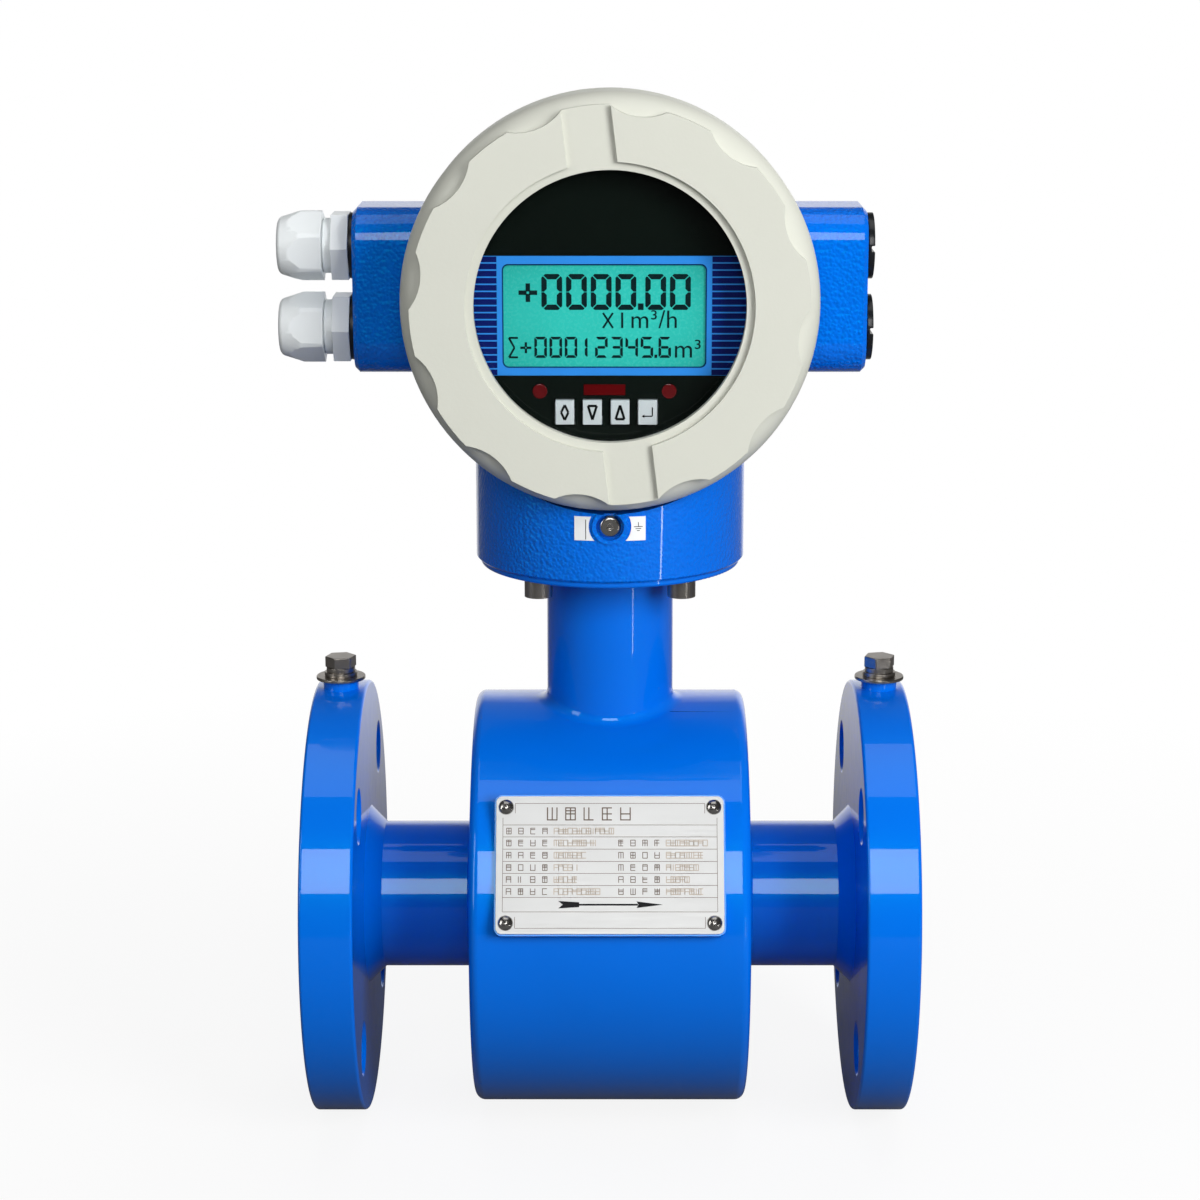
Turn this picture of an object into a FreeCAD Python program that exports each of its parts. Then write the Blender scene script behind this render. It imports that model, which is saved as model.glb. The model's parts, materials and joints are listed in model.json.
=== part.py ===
"""Electromagnetic flow meter: flanged flow sensor with a two-chamber converter head.

Frame: the origin is the middle of the flow axis, +X runs with the flow, -Y is the
display side and +Z is up. All lengths are in millimetres.
"""
import FreeCAD
import Part

import math
import os

Vector = FreeCAD.Vector
AXIS_X = Vector(1, 0, 0)
AXIS_Y = Vector(0, 1, 0)
AXIS_Z = Vector(0, 0, 1)

# --- Clearances ---
SEAT_GAP = 0.1             # between pieces of one body that seat on a curved face
RUN_GAP = 0.35             # between pieces that turn or slide on each other
KEY_GAP = 0.3              # round each key in the panel and behind its lip

# --- Measuring tube, flanges and liner ---
FLANGE_OD = 160.0
FLANGE_THICKNESS = 19.0
SENSOR_LENGTH = 217.0        # over the outer metal faces of the two flanges
BOLT_EDGE = 17.5           # from the rim to the centres of the bolt holes
BOLT_COUNT = 4
BOLT_HOLE = 18.0
FLANGE_ROUND = 1.2
TUBE_OD = 54.0
TUBE_WALL = 2.0
TUBE_WELD = 6.0            # leg of the fillet weld between tube and flange
LINER_WALL = 3.0
LINER_LIP_OD = 94.0
LINER_LIP_THICKNESS = 2.0
LINER_LIP_ROUND = 1.5

# --- Earthing bolts on the flange rims ---
EARTH_BOSS_D = 13.0
EARTH_BOSS_HEIGHT = 3.4
WIDE_WASHER_D = 18.0
WIDE_WASHER_THICKNESS = 1.2
PLAIN_WASHER_D = 12.0
PLAIN_WASHER_THICKNESS = 1.6
SPRING_WASHER_D = 10.5
SPRING_WASHER_THICKNESS = 1.8
SPRING_WASHER_SLIT = 1.0
M6_THREAD = 6.0
M6_FLATS = 10.0
M6_HEAD_HEIGHT = 4.0
EARTH_BOLT_DEPTH = 10.0    # thread below the top of the boss

# --- Coil housing ---
DRUM_OD = 152.6
DRUM_LENGTH = 99.0
DRUM_WALL = 3.0
DRUM_EDGE_ROUND = 3.5
DRUM_WELD = 3.0

# --- Neck ---
NECK_OD = 46.0
NECK_WALL = 3.0
NECK_SADDLE_WELD = 4.0
NECK_TOP_WELD = 3.0
PLATE_BOTTOM_Z = 128.2
PLATE_THICKNESS = 2.2
PLATE_OD = 94.0
PLATE_ROUND = 1.0
GASKET_THICKNESS = 1.0
GASKET_INSET = 1.5         # inside the plate's rim, so that the housing's edge hides it
NECK_SCREW_CIRCLE = 72.0
NECK_SCREW_COUNT = 4
NECK_SCREW_HEAD_D = 10.0
NECK_SCREW_HEAD_HEIGHT = 6.0
NECK_SCREW_SOCKET = 5.0
NECK_SCREW_SOCKET_DEPTH = 3.0
NECK_SCREW_GRIP = 12.0     # thread inside the housing's bosses
NECK_WASHER_THICKNESS = 1.6
SCREW_HOLE_PLAY = 0.6

# --- Coils and magnetic circuit ---
POLE_SHOE_THICKNESS = 4.0
POLE_SHOE_LENGTH = 44.0
POLE_SHOE_WIDTH = 38.0
POLE_CORE_D = 22.0
BOBBIN_WALL = 1.0
COIL_OD = 44.0
COIL_HEIGHT = 17.0
YOKE_INNER_D = 116.0
YOKE_THICKNESS = 3.0
YOKE_WIDTH = 40.0
YOKE_SCREW_HEAD_D = 10.0
YOKE_SCREW_HEAD_HEIGHT = 4.0
YOKE_SCREW_DEPTH = 12.0

# --- Electrodes ---
ELECTRODE_SHANK = 5.0
ELECTRODE_HEAD = 10.0
ELECTRODE_HEAD_DEPTH = 1.5
ELECTRODE_TAIL = 3.0       # thread that stands out of the nut
ELECTRODE_BOSS_D = 18.0
ELECTRODE_BOSS_HEIGHT = 8.0
INSULATOR_WALL = 2.0
INSULATOR_COLLAR_D = 14.0
INSULATOR_COLLAR_THICKNESS = 2.0
ELECTRODE_NUT_FLATS = 8.0
ELECTRODE_NUT_HEIGHT = 4.0

# --- Nameplate ---
NAMEPLATE_WIDTH = 79.4
NAMEPLATE_HEIGHT = 48.2
NAMEPLATE_THICKNESS = 0.8
NAMEPLATE_CORNER = 2.2
NAMEPLATE_TILT = 26.5      # degrees above the horizontal, round the drum
SEAT_BORDER = 0.6          # the seat stands out all round the plate
SEAT_SHEET = 1.2
RIVET_INSET_X = 3.4        # from the plate's edges to the rivets
RIVET_INSET_UP = 3.8
RIVET_HEAD_D = 5.6
RIVET_HEAD_HEIGHT = 1.4
RIVET_SHANK_D = 3.0

# --- Converter housing ---
HEAD_Z = 228.0
SHOULDER_D = 136.0
SHOULDER_WIDTH = 54.0
SPIGOT_D = 128.0
SPIGOT_LENGTH = 14.0
CHAMBER_D = 116.0
REAR_STEP = 12.0           # by which every circle of the rear chamber and its cover is smaller
PARTITION_FRONT_Y = -14.0
PARTITION_THICKNESS = 4.0
EARS_LENGTH = 180.0
EAR_DEPTH = 44.0
EAR_HEIGHT = 58.3
EAR_ROUND = 12.0
EAR_END_ROUND = 1.5
ENTRY_SPACING = 29.0
ENTRY_THREAD_D = 20.0
ENTRY_THREAD_DEPTH = 14.0
ENTRY_BORE_D = 17.0
CUP_OD = 97.0
CUP_WALL = 5.5
CUP_CHAMFER = 0.8
CUP_COVER_GAP = 1.6        # between the cup's upper edge and the covers
CUP_ROOF = 5.0
SCREW_BOSS_D = 16.0
LEAD_PASSAGE_D = 14.0
LEAD_BUNDLE_D = 9.0

# --- Earthing screw and label on the housing ---
EARTH_SCREW_Z = 150.7
EARTH_RING_OD = 12.4
EARTH_RING_BORE = 9.6
EARTH_RING_HEIGHT = 0.8
EARTH_RING_DEPTH = 2.6
EARTH_SCREW_HEAD_D = 7.6
EARTH_SCREW_HEAD_HEIGHT = 2.4
EARTH_SCREW_THREAD = 4.0
EARTH_SCREW_LENGTH = 6.0
EARTH_BOSS_END_WALL = 2.0
LABEL_WIDTH = 24.7
LABEL_BOTTOM_Z = 145.7
LABEL_TOP_Z = 154.2
LABEL_HOLE_D = 14.8
LABEL_THICKNESS = 0.3

# --- Covers ---
COVER_OD = 142.8
COVER_LENGTH = 31.0        # skirt end to the bottom of the raised land
COVER_LAND_HEIGHT = 2.0
COVER_SHOULDER_LENGTH = 13.0
COVER_SHOULDER_D = 126.0
COVER_LOBES = 12
COVER_LOBE_D = 135.4
COVER_DIP_D = 128.6
COVER_LOBE_ANGLE = 13.5
COVER_TURN = 7.0           # degrees that the lobes are turned, seen from the front
COVER_NOTCH_WIDTH = 16.8
COVER_LAND_BORE = 97.8
COVER_THREAD_SLACK = 1.0   # past the end of the spigot
COVER_LIP = 3.5
WINDOW_D = 92.2
SEAL_SECTION = 3.0
SEAL_ROOM = 0.3
WINDOW_OVERLAP = 5.1       # of the glass on the window's lip, all round
WINDOW_GLASS_THICKNESS = 5.0
WINDOW_GASKET_THICKNESS = 1.0
WINDOW_RING_STEP = 3.8     # of the retaining ring past the glass, all round
WINDOW_RING_REVEAL = 2.4   # of glass between the window's lip and the ring
WINDOW_RING_THICKNESS = 3.0
REAR_WEB = 4.5

# --- Display ---
PANEL_SIDE_GAP = 3.0       # between the panel and the bore for the window ring
PANEL_THICKNESS = 2.0
PANEL_TO_RING = 1.0
PANEL_TO_BOARD = 6.5
DISPLAY_X = -1.9
DISPLAY_Z = -4.5
LCD_WIDTH = 70.4
LCD_HEIGHT = 36.2
LCD_MODULE_BORDER = 3.0
LCD_SUNK = 0.3
BEZEL_HEIGHT = 41.0
BEZEL_THICKNESS = 0.5
BEZEL_INSET = 0.5
LED_D = 5.2
LED_SPACING = 44.4
LED_Z = -30.5
LED_PROUD = 0.4
INDICATOR_WIDTH = 14.5
INDICATOR_HEIGHT = 3.9
INDICATOR_Z = -30.0
KEY_WIDTH = 6.5
KEY_HEIGHT = 8.5
KEY_PITCH = 9.5
KEY_ROW_X = -1.3
KEY_ROW_Z = -37.6
KEY_PROUD = 1.8
KEY_LIP = 0.8
KEY_LIP_THICKNESS = 1.0
KEY_TRAVEL = 0.8
KEY_STEM_D = 3.0
KEY_STEM_LENGTH = 1.7
KEY_NAMES = ["menu_key", "down_key", "up_key", "enter_key"]
SWITCH_SIZE = 6.0

# --- Circuit boards ---
BOARD_THICKNESS = 1.6
BOARD_INSET = 1.0          # of the round boards inside the panel's rim
MAIN_BOARD_Y = -24.0
POST_D = 5.0
POST_CIRCLE = 94.0
POST_ANGLES = [60.0, 120.0, 240.0, 300.0]
TERMINAL_BOARD_WIDTH = 84.0
TERMINAL_BOARD_HEIGHT = 34.0
TERMINAL_BOARD_Z = 10.0
TERMINAL_POST_HEIGHT = 6.0
TERMINAL_POST_INSET = 4.0
TERMINAL_COUNT = 10
TERMINAL_PITCH = 7.0
TERMINAL_DEPTH = 12.0
TERMINAL_HEIGHT = 16.0
TERMINAL_SCREW_D = 3.6
TERMINAL_SCREW_SUNK = 1.0
TERMINAL_WIRE_D = 3.0

# --- Cable glands and blanking plugs ---
GLAND_WASHER_D = 23.4
GLAND_WASHER_THICKNESS = 2.3
GLAND_FLATS = 23.0
GLAND_HEX_LENGTH = 6.1
GLAND_NECK_D = 19.5
GLAND_NECK_LENGTH = 3.3
GLAND_THREAD_LENGTH = 10.0
GLAND_STEM_D = 18.0
GLAND_STEM_LENGTH = 8.5
GLAND_BORE = 13.0
NUT_FLATS = 22.5
NUT_CORNER_D = 25.0        # of the rounded corners
NUT_LENGTH = 16.0
NUT_TAPER_LENGTH = 8.4     # from the end to the full width of the corners
NUT_NOSE_D = 20.8          # where the round of the end begins
NUT_NOSE_LENGTH = 1.8
NUT_FACE_D = 15.6
UPPER_NUT_TURN = 98.0      # degrees from +Y up to a corner
LOWER_NUT_TURN = 84.0
NUT_MOUTH_D = 13.0
NUT_END_WALL = 2.2
INSERT_OD = 16.4
INSERT_BORE = 10.0
INSERT_LENGTH = 4.7
PLUG_HEAD_D = 23.4
PLUG_HEAD_THICKNESS = 2.2
PLUG_WASHER_THICKNESS = 1.0
PLUG_THREAD_LENGTH = 9.0
PLUG_SLOT_WIDTH = 2.0
PLUG_SLOT_DEPTH = 1.2
THREAD_PLAY = 0.1

# --- Sizes that follow from those above ---
FLANGE_OUT_X = SENSOR_LENGTH / 2
FLANGE_IN_X = FLANGE_OUT_X - FLANGE_THICKNESS
BOLT_CIRCLE = FLANGE_OD - 2 * BOLT_EDGE
TUBE_R = TUBE_OD / 2
TUBE_BORE_R = TUBE_R - TUBE_WALL
FLOW_R = TUBE_BORE_R - LINER_WALL
DRUM_R = DRUM_OD / 2
PLATE_TOP_Z = PLATE_BOTTOM_Z + PLATE_THICKNESS
HOUSING_BOTTOM_Z = PLATE_TOP_Z
GASKET_TOP_Z = HOUSING_BOTTOM_Z + GASKET_THICKNESS
CUP_R = CUP_OD / 2
REAR_CHAMBER_R = (CHAMBER_D - REAR_STEP) / 2
SHOULDER_Y = SHOULDER_WIDTH / 2
SPIGOT_END_Y = SHOULDER_Y + SPIGOT_LENGTH
PARTITION_REAR_Y = PARTITION_FRONT_Y + PARTITION_THICKNESS
COVER_START_Y = SHOULDER_Y + RUN_GAP
COVER_FACE_Y = COVER_START_Y + COVER_LENGTH
LAND_FACE_Y = COVER_FACE_Y + COVER_LAND_HEIGHT
COVER_THREAD_END_Y = SPIGOT_END_Y + COVER_THREAD_SLACK
WINDOW_GLASS_D = WINDOW_D + 2 * WINDOW_OVERLAP
WINDOW_RING_D = WINDOW_GLASS_D + 2 * WINDOW_RING_STEP
WINDOW_RING_BORE = WINDOW_D + 2 * WINDOW_RING_REVEAL
PANEL_D = WINDOW_RING_D - 2 * PANEL_SIDE_GAP
BOARD_D = PANEL_D - 2 * BOARD_INSET
GLASS_FRONT_Y = COVER_FACE_Y - COVER_LIP - WINDOW_GASKET_THICKNESS
GLASS_BACK_Y = GLASS_FRONT_Y - WINDOW_GLASS_THICKNESS
RING_BACK_Y = GLASS_BACK_Y - WINDOW_RING_THICKNESS
PANEL_FRONT_Y = -(RING_BACK_Y - PANEL_TO_RING)
PANEL_BACK_Y = PANEL_FRONT_Y + PANEL_THICKNESS
DISPLAY_BOARD_Y = PANEL_BACK_Y + PANEL_TO_BOARD
NECK_R = NECK_OD / 2
RIVET_SPACING_X = NAMEPLATE_WIDTH - 2 * RIVET_INSET_X
RIVET_SPACING_UP = NAMEPLATE_HEIGHT - 2 * RIVET_INSET_UP
POLE_TIP_R = YOKE_INNER_D / 2 - SEAT_GAP
EAR_X = EARS_LENGTH / 2


# --- Basic solids ---
def cylinder(axis, radius, start, end, centre=(0.0, 0.0)):
    """A cylinder along one axis, from start to end, centred in the other two."""
    low = min(start, end)
    length = abs(end - start)
    across, up = centre
    if axis == AXIS_X:
        base = Vector(low, across, up)
    elif axis == AXIS_Y:
        base = Vector(across, low, up)
    else:
        base = Vector(across, up, low)
    return Part.makeCylinder(radius, length, base, axis)


def ring(axis, outer, inner, start, end, centre=(0.0, 0.0)):
    """A tube or washer with the given radii."""
    body = cylinder(axis, outer, start, end, centre)
    return body.cut(cylinder(axis, inner, start, end, centre))


def block(x_range, y_range, z_range):
    """A box between two values on each axis."""
    size = [high - low for low, high in (x_range, y_range, z_range)]
    corner = Vector(x_range[0], y_range[0], z_range[0])
    return Part.makeBox(size[0], size[1], size[2], corner)


def prism(axis, flats, start, end, centre=(0.0, 0.0), turn=0.0):
    """A hexagonal bar with the given width across its flats."""
    radius = flats / math.sqrt(3)
    low = min(start, end)
    across, up = centre
    points = []
    for step in range(7):
        angle = math.radians(60 * step + turn)
        u = across + radius * math.cos(angle)
        v = up + radius * math.sin(angle)
        if axis == AXIS_X:
            points.append(Vector(low, u, v))
        elif axis == AXIS_Y:
            points.append(Vector(u, low, v))
        else:
            points.append(Vector(u, v, low))
    face = Part.Face(Part.makePolygon(points))
    return face.extrude(axis * abs(end - start))


def turned(axis, outline):
    """Revolve a closed outline of (place along the axis, radius) corners."""
    if axis == AXIS_X:
        points = [Vector(along, 0, radius) for along, radius in outline]
    elif axis == AXIS_Y:
        points = [Vector(radius, along, 0) for along, radius in outline]
    else:
        points = [Vector(radius, 0, along) for along, radius in outline]
    face = Part.Face(Part.makePolygon(points + points[:1]))
    return face.revolve(Vector(0, 0, 0), axis, 360)


def moved(shape, x=0.0, y=0.0, z=0.0):
    """A copy of a shape at another place."""
    copy = shape.copy()
    copy.translate(Vector(x, y, z))
    return copy


def mirrored(shape, normal):
    """A copy of a shape mirrored in the plane through the origin."""
    return shape.mirror(Vector(0, 0, 0), normal)


def fused(shapes):
    """Join shapes into one and clean its faces."""
    return shapes[0].multiFuse(shapes[1:]).removeSplitter()


def on_circle(diameter, count, first_angle):
    """Places spread evenly on a circle, as (across, up) pairs."""
    places = []
    for number in range(count):
        angle = math.radians(first_angle + 360.0 * number / count)
        places.append((diameter / 2 * math.cos(angle), diameter / 2 * math.sin(angle)))
    return places


def circle_edges(shape, axis_name, place, radius):
    """The round edges of one radius that lie in a plane across an axis."""
    found = []
    for edge in shape.Edges:
        if not isinstance(edge.Curve, Part.Circle):
            continue
        at = getattr(edge.CenterOfMass, axis_name)
        if abs(at - place) < 1e-3 and abs(edge.Curve.Radius - radius) < 1e-3:
            found.append(edge)
    return found


# --- Sensor ---
def weld_ring(radius, leg, start, direction):
    """A fillet weld round the measuring tube, from a face along the tube."""
    outline = [(start, radius), (start, radius + leg), (start + direction * leg, radius)]
    return turned(AXIS_X, outline)


def make_flange(side):
    """One flange with its bolt holes, tube weld and earthing boss."""
    outer_x = side * FLANGE_OUT_X
    inner_x = side * FLANGE_IN_X
    disc = cylinder(AXIS_X, FLANGE_OD / 2, inner_x, outer_x)
    for place in on_circle(BOLT_CIRCLE, BOLT_COUNT, 45.0):
        disc = disc.cut(cylinder(AXIS_X, BOLT_HOLE / 2, inner_x, outer_x, place))
    rims = circle_edges(disc, "x", inner_x, FLANGE_OD / 2)
    rims += circle_edges(disc, "x", outer_x, FLANGE_OD / 2)
    disc = disc.makeFillet(FLANGE_ROUND, rims)
    mouths = circle_edges(disc, "x", inner_x, BOLT_HOLE / 2)
    mouths += circle_edges(disc, "x", outer_x, BOLT_HOLE / 2)
    disc = disc.makeChamfer(FLANGE_ROUND, mouths)
    boss_x = (outer_x + inner_x) / 2
    boss_top = FLANGE_OD / 2 + EARTH_BOSS_HEIGHT
    boss_foot = FLANGE_OD / 2 - EARTH_BOSS_HEIGHT
    boss = cylinder(AXIS_Z, EARTH_BOSS_D / 2, boss_foot, boss_top, (boss_x, 0))
    weld = weld_ring(TUBE_R, TUBE_WELD, inner_x, -side)
    flange = fused([disc, boss, weld])
    flange = flange.cut(cylinder(AXIS_X, TUBE_R, -FLANGE_OUT_X, FLANGE_OUT_X))
    depth = boss_top - EARTH_BOLT_DEPTH
    return flange.cut(cylinder(AXIS_Z, M6_THREAD / 2, depth, boss_top, (boss_x, 0)))


def make_measuring_tube():
    """The stainless tube with a welded boss for each electrode."""
    tube = cylinder(AXIS_X, TUBE_R, -FLANGE_OUT_X, FLANGE_OUT_X)
    boss_end = TUBE_R + ELECTRODE_BOSS_HEIGHT
    bosses = cylinder(AXIS_Y, ELECTRODE_BOSS_D / 2, -boss_end, boss_end)
    tube = fused([tube, bosses])
    tube = tube.cut(cylinder(AXIS_X, TUBE_BORE_R, -FLANGE_OUT_X, FLANGE_OUT_X))
    hole = ELECTRODE_SHANK / 2 + INSULATOR_WALL
    return tube.cut(cylinder(AXIS_Y, hole, -boss_end, boss_end))


def make_liner():
    """The insulating liner, turned out over both flange faces."""
    face_x = FLANGE_OUT_X + LINER_LIP_THICKNESS
    lip = LINER_LIP_OD / 2
    outline = [
        (-face_x, FLOW_R), (-face_x, lip), (-FLANGE_OUT_X, lip),
        (-FLANGE_OUT_X, TUBE_BORE_R), (FLANGE_OUT_X, TUBE_BORE_R),
        (FLANGE_OUT_X, lip), (face_x, lip), (face_x, FLOW_R),
    ]
    liner = turned(AXIS_X, outline)
    lips = circle_edges(liner, "x", -face_x, lip) + circle_edges(liner, "x", face_x, lip)
    liner = liner.makeFillet(LINER_LIP_ROUND, lips)
    liner = liner.cut(cylinder(AXIS_Y, ELECTRODE_SHANK / 2, -TUBE_R, TUBE_R))
    head_seat = FLOW_R + ELECTRODE_HEAD_DEPTH
    return liner.cut(cylinder(AXIS_Y, ELECTRODE_HEAD / 2, -head_seat, head_seat))


def electrode_stack():
    """Places along Y of the insulator collar, the nut and the electrode's end."""
    collar = TUBE_R + ELECTRODE_BOSS_HEIGHT
    nut = collar + INSULATOR_COLLAR_THICKNESS
    end = nut + ELECTRODE_NUT_HEIGHT + ELECTRODE_TAIL
    return collar, nut, end


def make_electrodes():
    """Two electrodes whose heads lie flush in the liner."""
    collar, nut, end = electrode_stack()
    head = cylinder(AXIS_Y, ELECTRODE_HEAD / 2, 0, FLOW_R + ELECTRODE_HEAD_DEPTH)
    shank = cylinder(AXIS_Y, ELECTRODE_SHANK / 2, FLOW_R, end)
    electrode = fused([head, shank])
    electrode = electrode.cut(cylinder(AXIS_X, FLOW_R + SEAT_GAP, -BOLT_HOLE, BOLT_HOLE))
    return [electrode, mirrored(electrode, AXIS_Y)]


def make_electrode_insulators():
    """A collared sleeve that keeps each electrode clear of the tube."""
    collar, nut, end = electrode_stack()
    sleeve_r = ELECTRODE_SHANK / 2 + INSULATOR_WALL
    sleeve = cylinder(AXIS_Y, sleeve_r, TUBE_BORE_R, collar)
    sleeve = sleeve.cut(cylinder(AXIS_X, TUBE_BORE_R, -BOLT_HOLE, BOLT_HOLE))
    flange = cylinder(AXIS_Y, INSULATOR_COLLAR_D / 2, collar, nut)
    bush = fused([sleeve, flange])
    bush = bush.cut(cylinder(AXIS_Y, ELECTRODE_SHANK / 2, 0, nut))
    return [bush, mirrored(bush, AXIS_Y)]


def make_electrode_nuts():
    """The nut that pulls each electrode's head onto its seat."""
    collar, nut, end = electrode_stack()
    top = nut + ELECTRODE_NUT_HEIGHT
    body = prism(AXIS_Y, ELECTRODE_NUT_FLATS, nut, top)
    body = body.cut(cylinder(AXIS_Y, ELECTRODE_SHANK / 2, nut, top))
    return [body, mirrored(body, AXIS_Y)]


def make_pole_pieces():
    """A curved shoe on the tube with a round core that meets the yoke."""
    shoe_in = TUBE_R + SEAT_GAP
    shoe_out = shoe_in + POLE_SHOE_THICKNESS
    half_length = POLE_SHOE_LENGTH / 2
    half_width = POLE_SHOE_WIDTH / 2
    shoe = ring(AXIS_X, shoe_out, shoe_in, -half_length, half_length)
    window = block((-half_length, half_length), (-half_width, half_width), (0, shoe_out))
    shoe = shoe.common(window)
    core = cylinder(AXIS_Z, POLE_CORE_D / 2, TUBE_R, YOKE_INNER_D / 2)
    core = core.common(cylinder(AXIS_X, POLE_TIP_R, -half_length, half_length))
    core = core.cut(cylinder(AXIS_X, shoe_in, -half_length, half_length))
    piece = fused([shoe, core])
    bottom = YOKE_INNER_D / 2 - YOKE_SCREW_DEPTH
    piece = piece.cut(cylinder(AXIS_Z, M6_THREAD / 2, bottom, YOKE_INNER_D / 2))
    return [piece, mirrored(piece, AXIS_Z)]


def coil_range():
    """Lowest and highest place of the upper coil's bobbin."""
    low = TUBE_R + SEAT_GAP + POLE_SHOE_THICKNESS + SEAT_GAP
    return low, low + COIL_HEIGHT


def make_bobbins():
    """A flanged spool on each pole core."""
    low, high = coil_range()
    bore = POLE_CORE_D / 2 + SEAT_GAP
    spool = ring(AXIS_Z, bore + BOBBIN_WALL, bore, low, high)
    bottom = ring(AXIS_Z, COIL_OD / 2, bore, low, low + BOBBIN_WALL)
    top = ring(AXIS_Z, COIL_OD / 2, bore, high - BOBBIN_WALL, high)
    bobbin = fused([spool, bottom, top])
    return [bobbin, mirrored(bobbin, AXIS_Z)]


def make_windings():
    """The copper winding on each bobbin."""
    low, high = coil_range()
    inner = POLE_CORE_D / 2 + SEAT_GAP + BOBBIN_WALL
    winding = ring(AXIS_Z, COIL_OD / 2 - BOBBIN_WALL, inner, low + BOBBIN_WALL, high - BOBBIN_WALL)
    return [winding, mirrored(winding, AXIS_Z)]


def make_yoke():
    """The rolled strip that closes the magnetic circuit round both coils."""
    inner = YOKE_INNER_D / 2
    outer = inner + YOKE_THICKNESS
    half = YOKE_WIDTH / 2
    yoke = ring(AXIS_X, outer, inner, -half, half)
    return yoke.cut(cylinder(AXIS_Z, M6_THREAD / 2, -outer, outer))


def make_yoke_screws():
    """One screw through the yoke into each pole core."""
    face = YOKE_INNER_D / 2 + YOKE_THICKNESS
    head = cylinder(AXIS_Z, YOKE_SCREW_HEAD_D / 2, face, face + YOKE_SCREW_HEAD_HEIGHT)
    shank_foot = YOKE_INNER_D / 2 - YOKE_SCREW_DEPTH
    shank = cylinder(AXIS_Z, M6_THREAD / 2, shank_foot, face)
    socket_foot = face + YOKE_SCREW_HEAD_HEIGHT / 2
    socket = prism(AXIS_Z, NECK_SCREW_SOCKET, socket_foot, face + YOKE_SCREW_HEAD_HEIGHT)
    screw = fused([head, shank]).cut(socket)
    return [screw, mirrored(screw, AXIS_Z)]


def make_coil_housing():
    """The welded drum round the coils, with a round opening under the neck."""
    half = DRUM_LENGTH / 2
    drum = cylinder(AXIS_X, DRUM_R, -half, half)
    rims = circle_edges(drum, "x", -half, DRUM_R) + circle_edges(drum, "x", half, DRUM_R)
    drum = drum.makeFillet(DRUM_EDGE_ROUND, rims)
    welds = [weld_ring(TUBE_R, DRUM_WELD, side * half, side) for side in (-1, 1)]
    drum = fused([drum] + welds)
    drum = drum.cut(cylinder(AXIS_X, DRUM_R - DRUM_WALL, -half + DRUM_WALL, half - DRUM_WALL))
    drum = drum.cut(cylinder(AXIS_X, TUBE_R, -half - DRUM_WELD, half + DRUM_WELD))
    return drum.cut(cylinder(AXIS_Z, NECK_R - NECK_WALL, 0, DRUM_R + 1))


def on_saddle(edge):
    """Whether an edge runs where the neck meets the drum."""
    middle = edge.valueAt((edge.FirstParameter + edge.LastParameter) / 2)
    from_neck = math.hypot(middle.x, middle.y) - NECK_R
    from_drum = math.hypot(middle.y, middle.z) - DRUM_R
    return abs(from_neck) < 1e-3 and abs(from_drum) < 1e-3


def make_neck_tube():
    """The neck, saddled onto the drum with its weld, and welded to the plate."""
    half = DRUM_LENGTH / 2
    drum = cylinder(AXIS_X, DRUM_R, -half, half)
    stem = cylinder(AXIS_Z, NECK_R, 0, PLATE_BOTTOM_Z)
    joined = drum.fuse(stem)
    saddle = [edge for edge in joined.Edges if on_saddle(edge)]
    welded = joined.makeFillet(NECK_SADDLE_WELD, saddle)
    neck = welded.cut(drum)
    top = PLATE_BOTTOM_Z
    outline = [(top, 0), (top, NECK_R + NECK_TOP_WELD), (top - NECK_TOP_WELD, NECK_R), (top - NECK_TOP_WELD, 0)]
    neck = fused([neck, turned(AXIS_Z, outline)])
    return neck.cut(cylinder(AXIS_Z, NECK_R - NECK_WALL, 0, PLATE_BOTTOM_Z))


def neck_screw_places():
    """Where the four screws under the converter housing stand."""
    return on_circle(NECK_SCREW_CIRCLE, NECK_SCREW_COUNT, 45.0)


def make_neck_plate():
    """The round plate on the neck that carries the converter."""
    plate = ring(AXIS_Z, PLATE_OD / 2, NECK_R - NECK_WALL, PLATE_BOTTOM_Z, PLATE_TOP_Z)
    plate = plate.makeFillet(PLATE_ROUND, circle_edges(plate, "z", PLATE_BOTTOM_Z, PLATE_OD / 2))
    hole = (M6_THREAD + SCREW_HOLE_PLAY) / 2
    for place in neck_screw_places():
        plate = plate.cut(cylinder(AXIS_Z, hole, PLATE_BOTTOM_Z, PLATE_TOP_Z, place))
    return plate


def make_neck_gasket():
    """The flat gasket on the plate, let into the foot of the housing."""
    outer = PLATE_OD / 2 - GASKET_INSET
    gasket = ring(AXIS_Z, outer, NECK_R - NECK_WALL, PLATE_TOP_Z, GASKET_TOP_Z)
    hole = (M6_THREAD + SCREW_HOLE_PLAY) / 2
    for place in neck_screw_places():
        gasket = gasket.cut(cylinder(AXIS_Z, hole, PLATE_TOP_Z, GASKET_TOP_Z, place))
    return gasket


def make_neck_screws():
    """Socket screws from below, through the plate into the housing."""
    head_top = PLATE_BOTTOM_Z - NECK_WASHER_THICKNESS
    head_low = head_top - NECK_SCREW_HEAD_HEIGHT
    screws = []
    for place in neck_screw_places():
        head = cylinder(AXIS_Z, NECK_SCREW_HEAD_D / 2, head_low, head_top, place)
        shank = cylinder(AXIS_Z, M6_THREAD / 2, head_top, HOUSING_BOTTOM_Z + NECK_SCREW_GRIP, place)
        socket = prism(AXIS_Z, NECK_SCREW_SOCKET, head_low, head_low + NECK_SCREW_SOCKET_DEPTH, place)
        screws.append(fused([head, shank]).cut(socket))
    return screws


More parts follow.
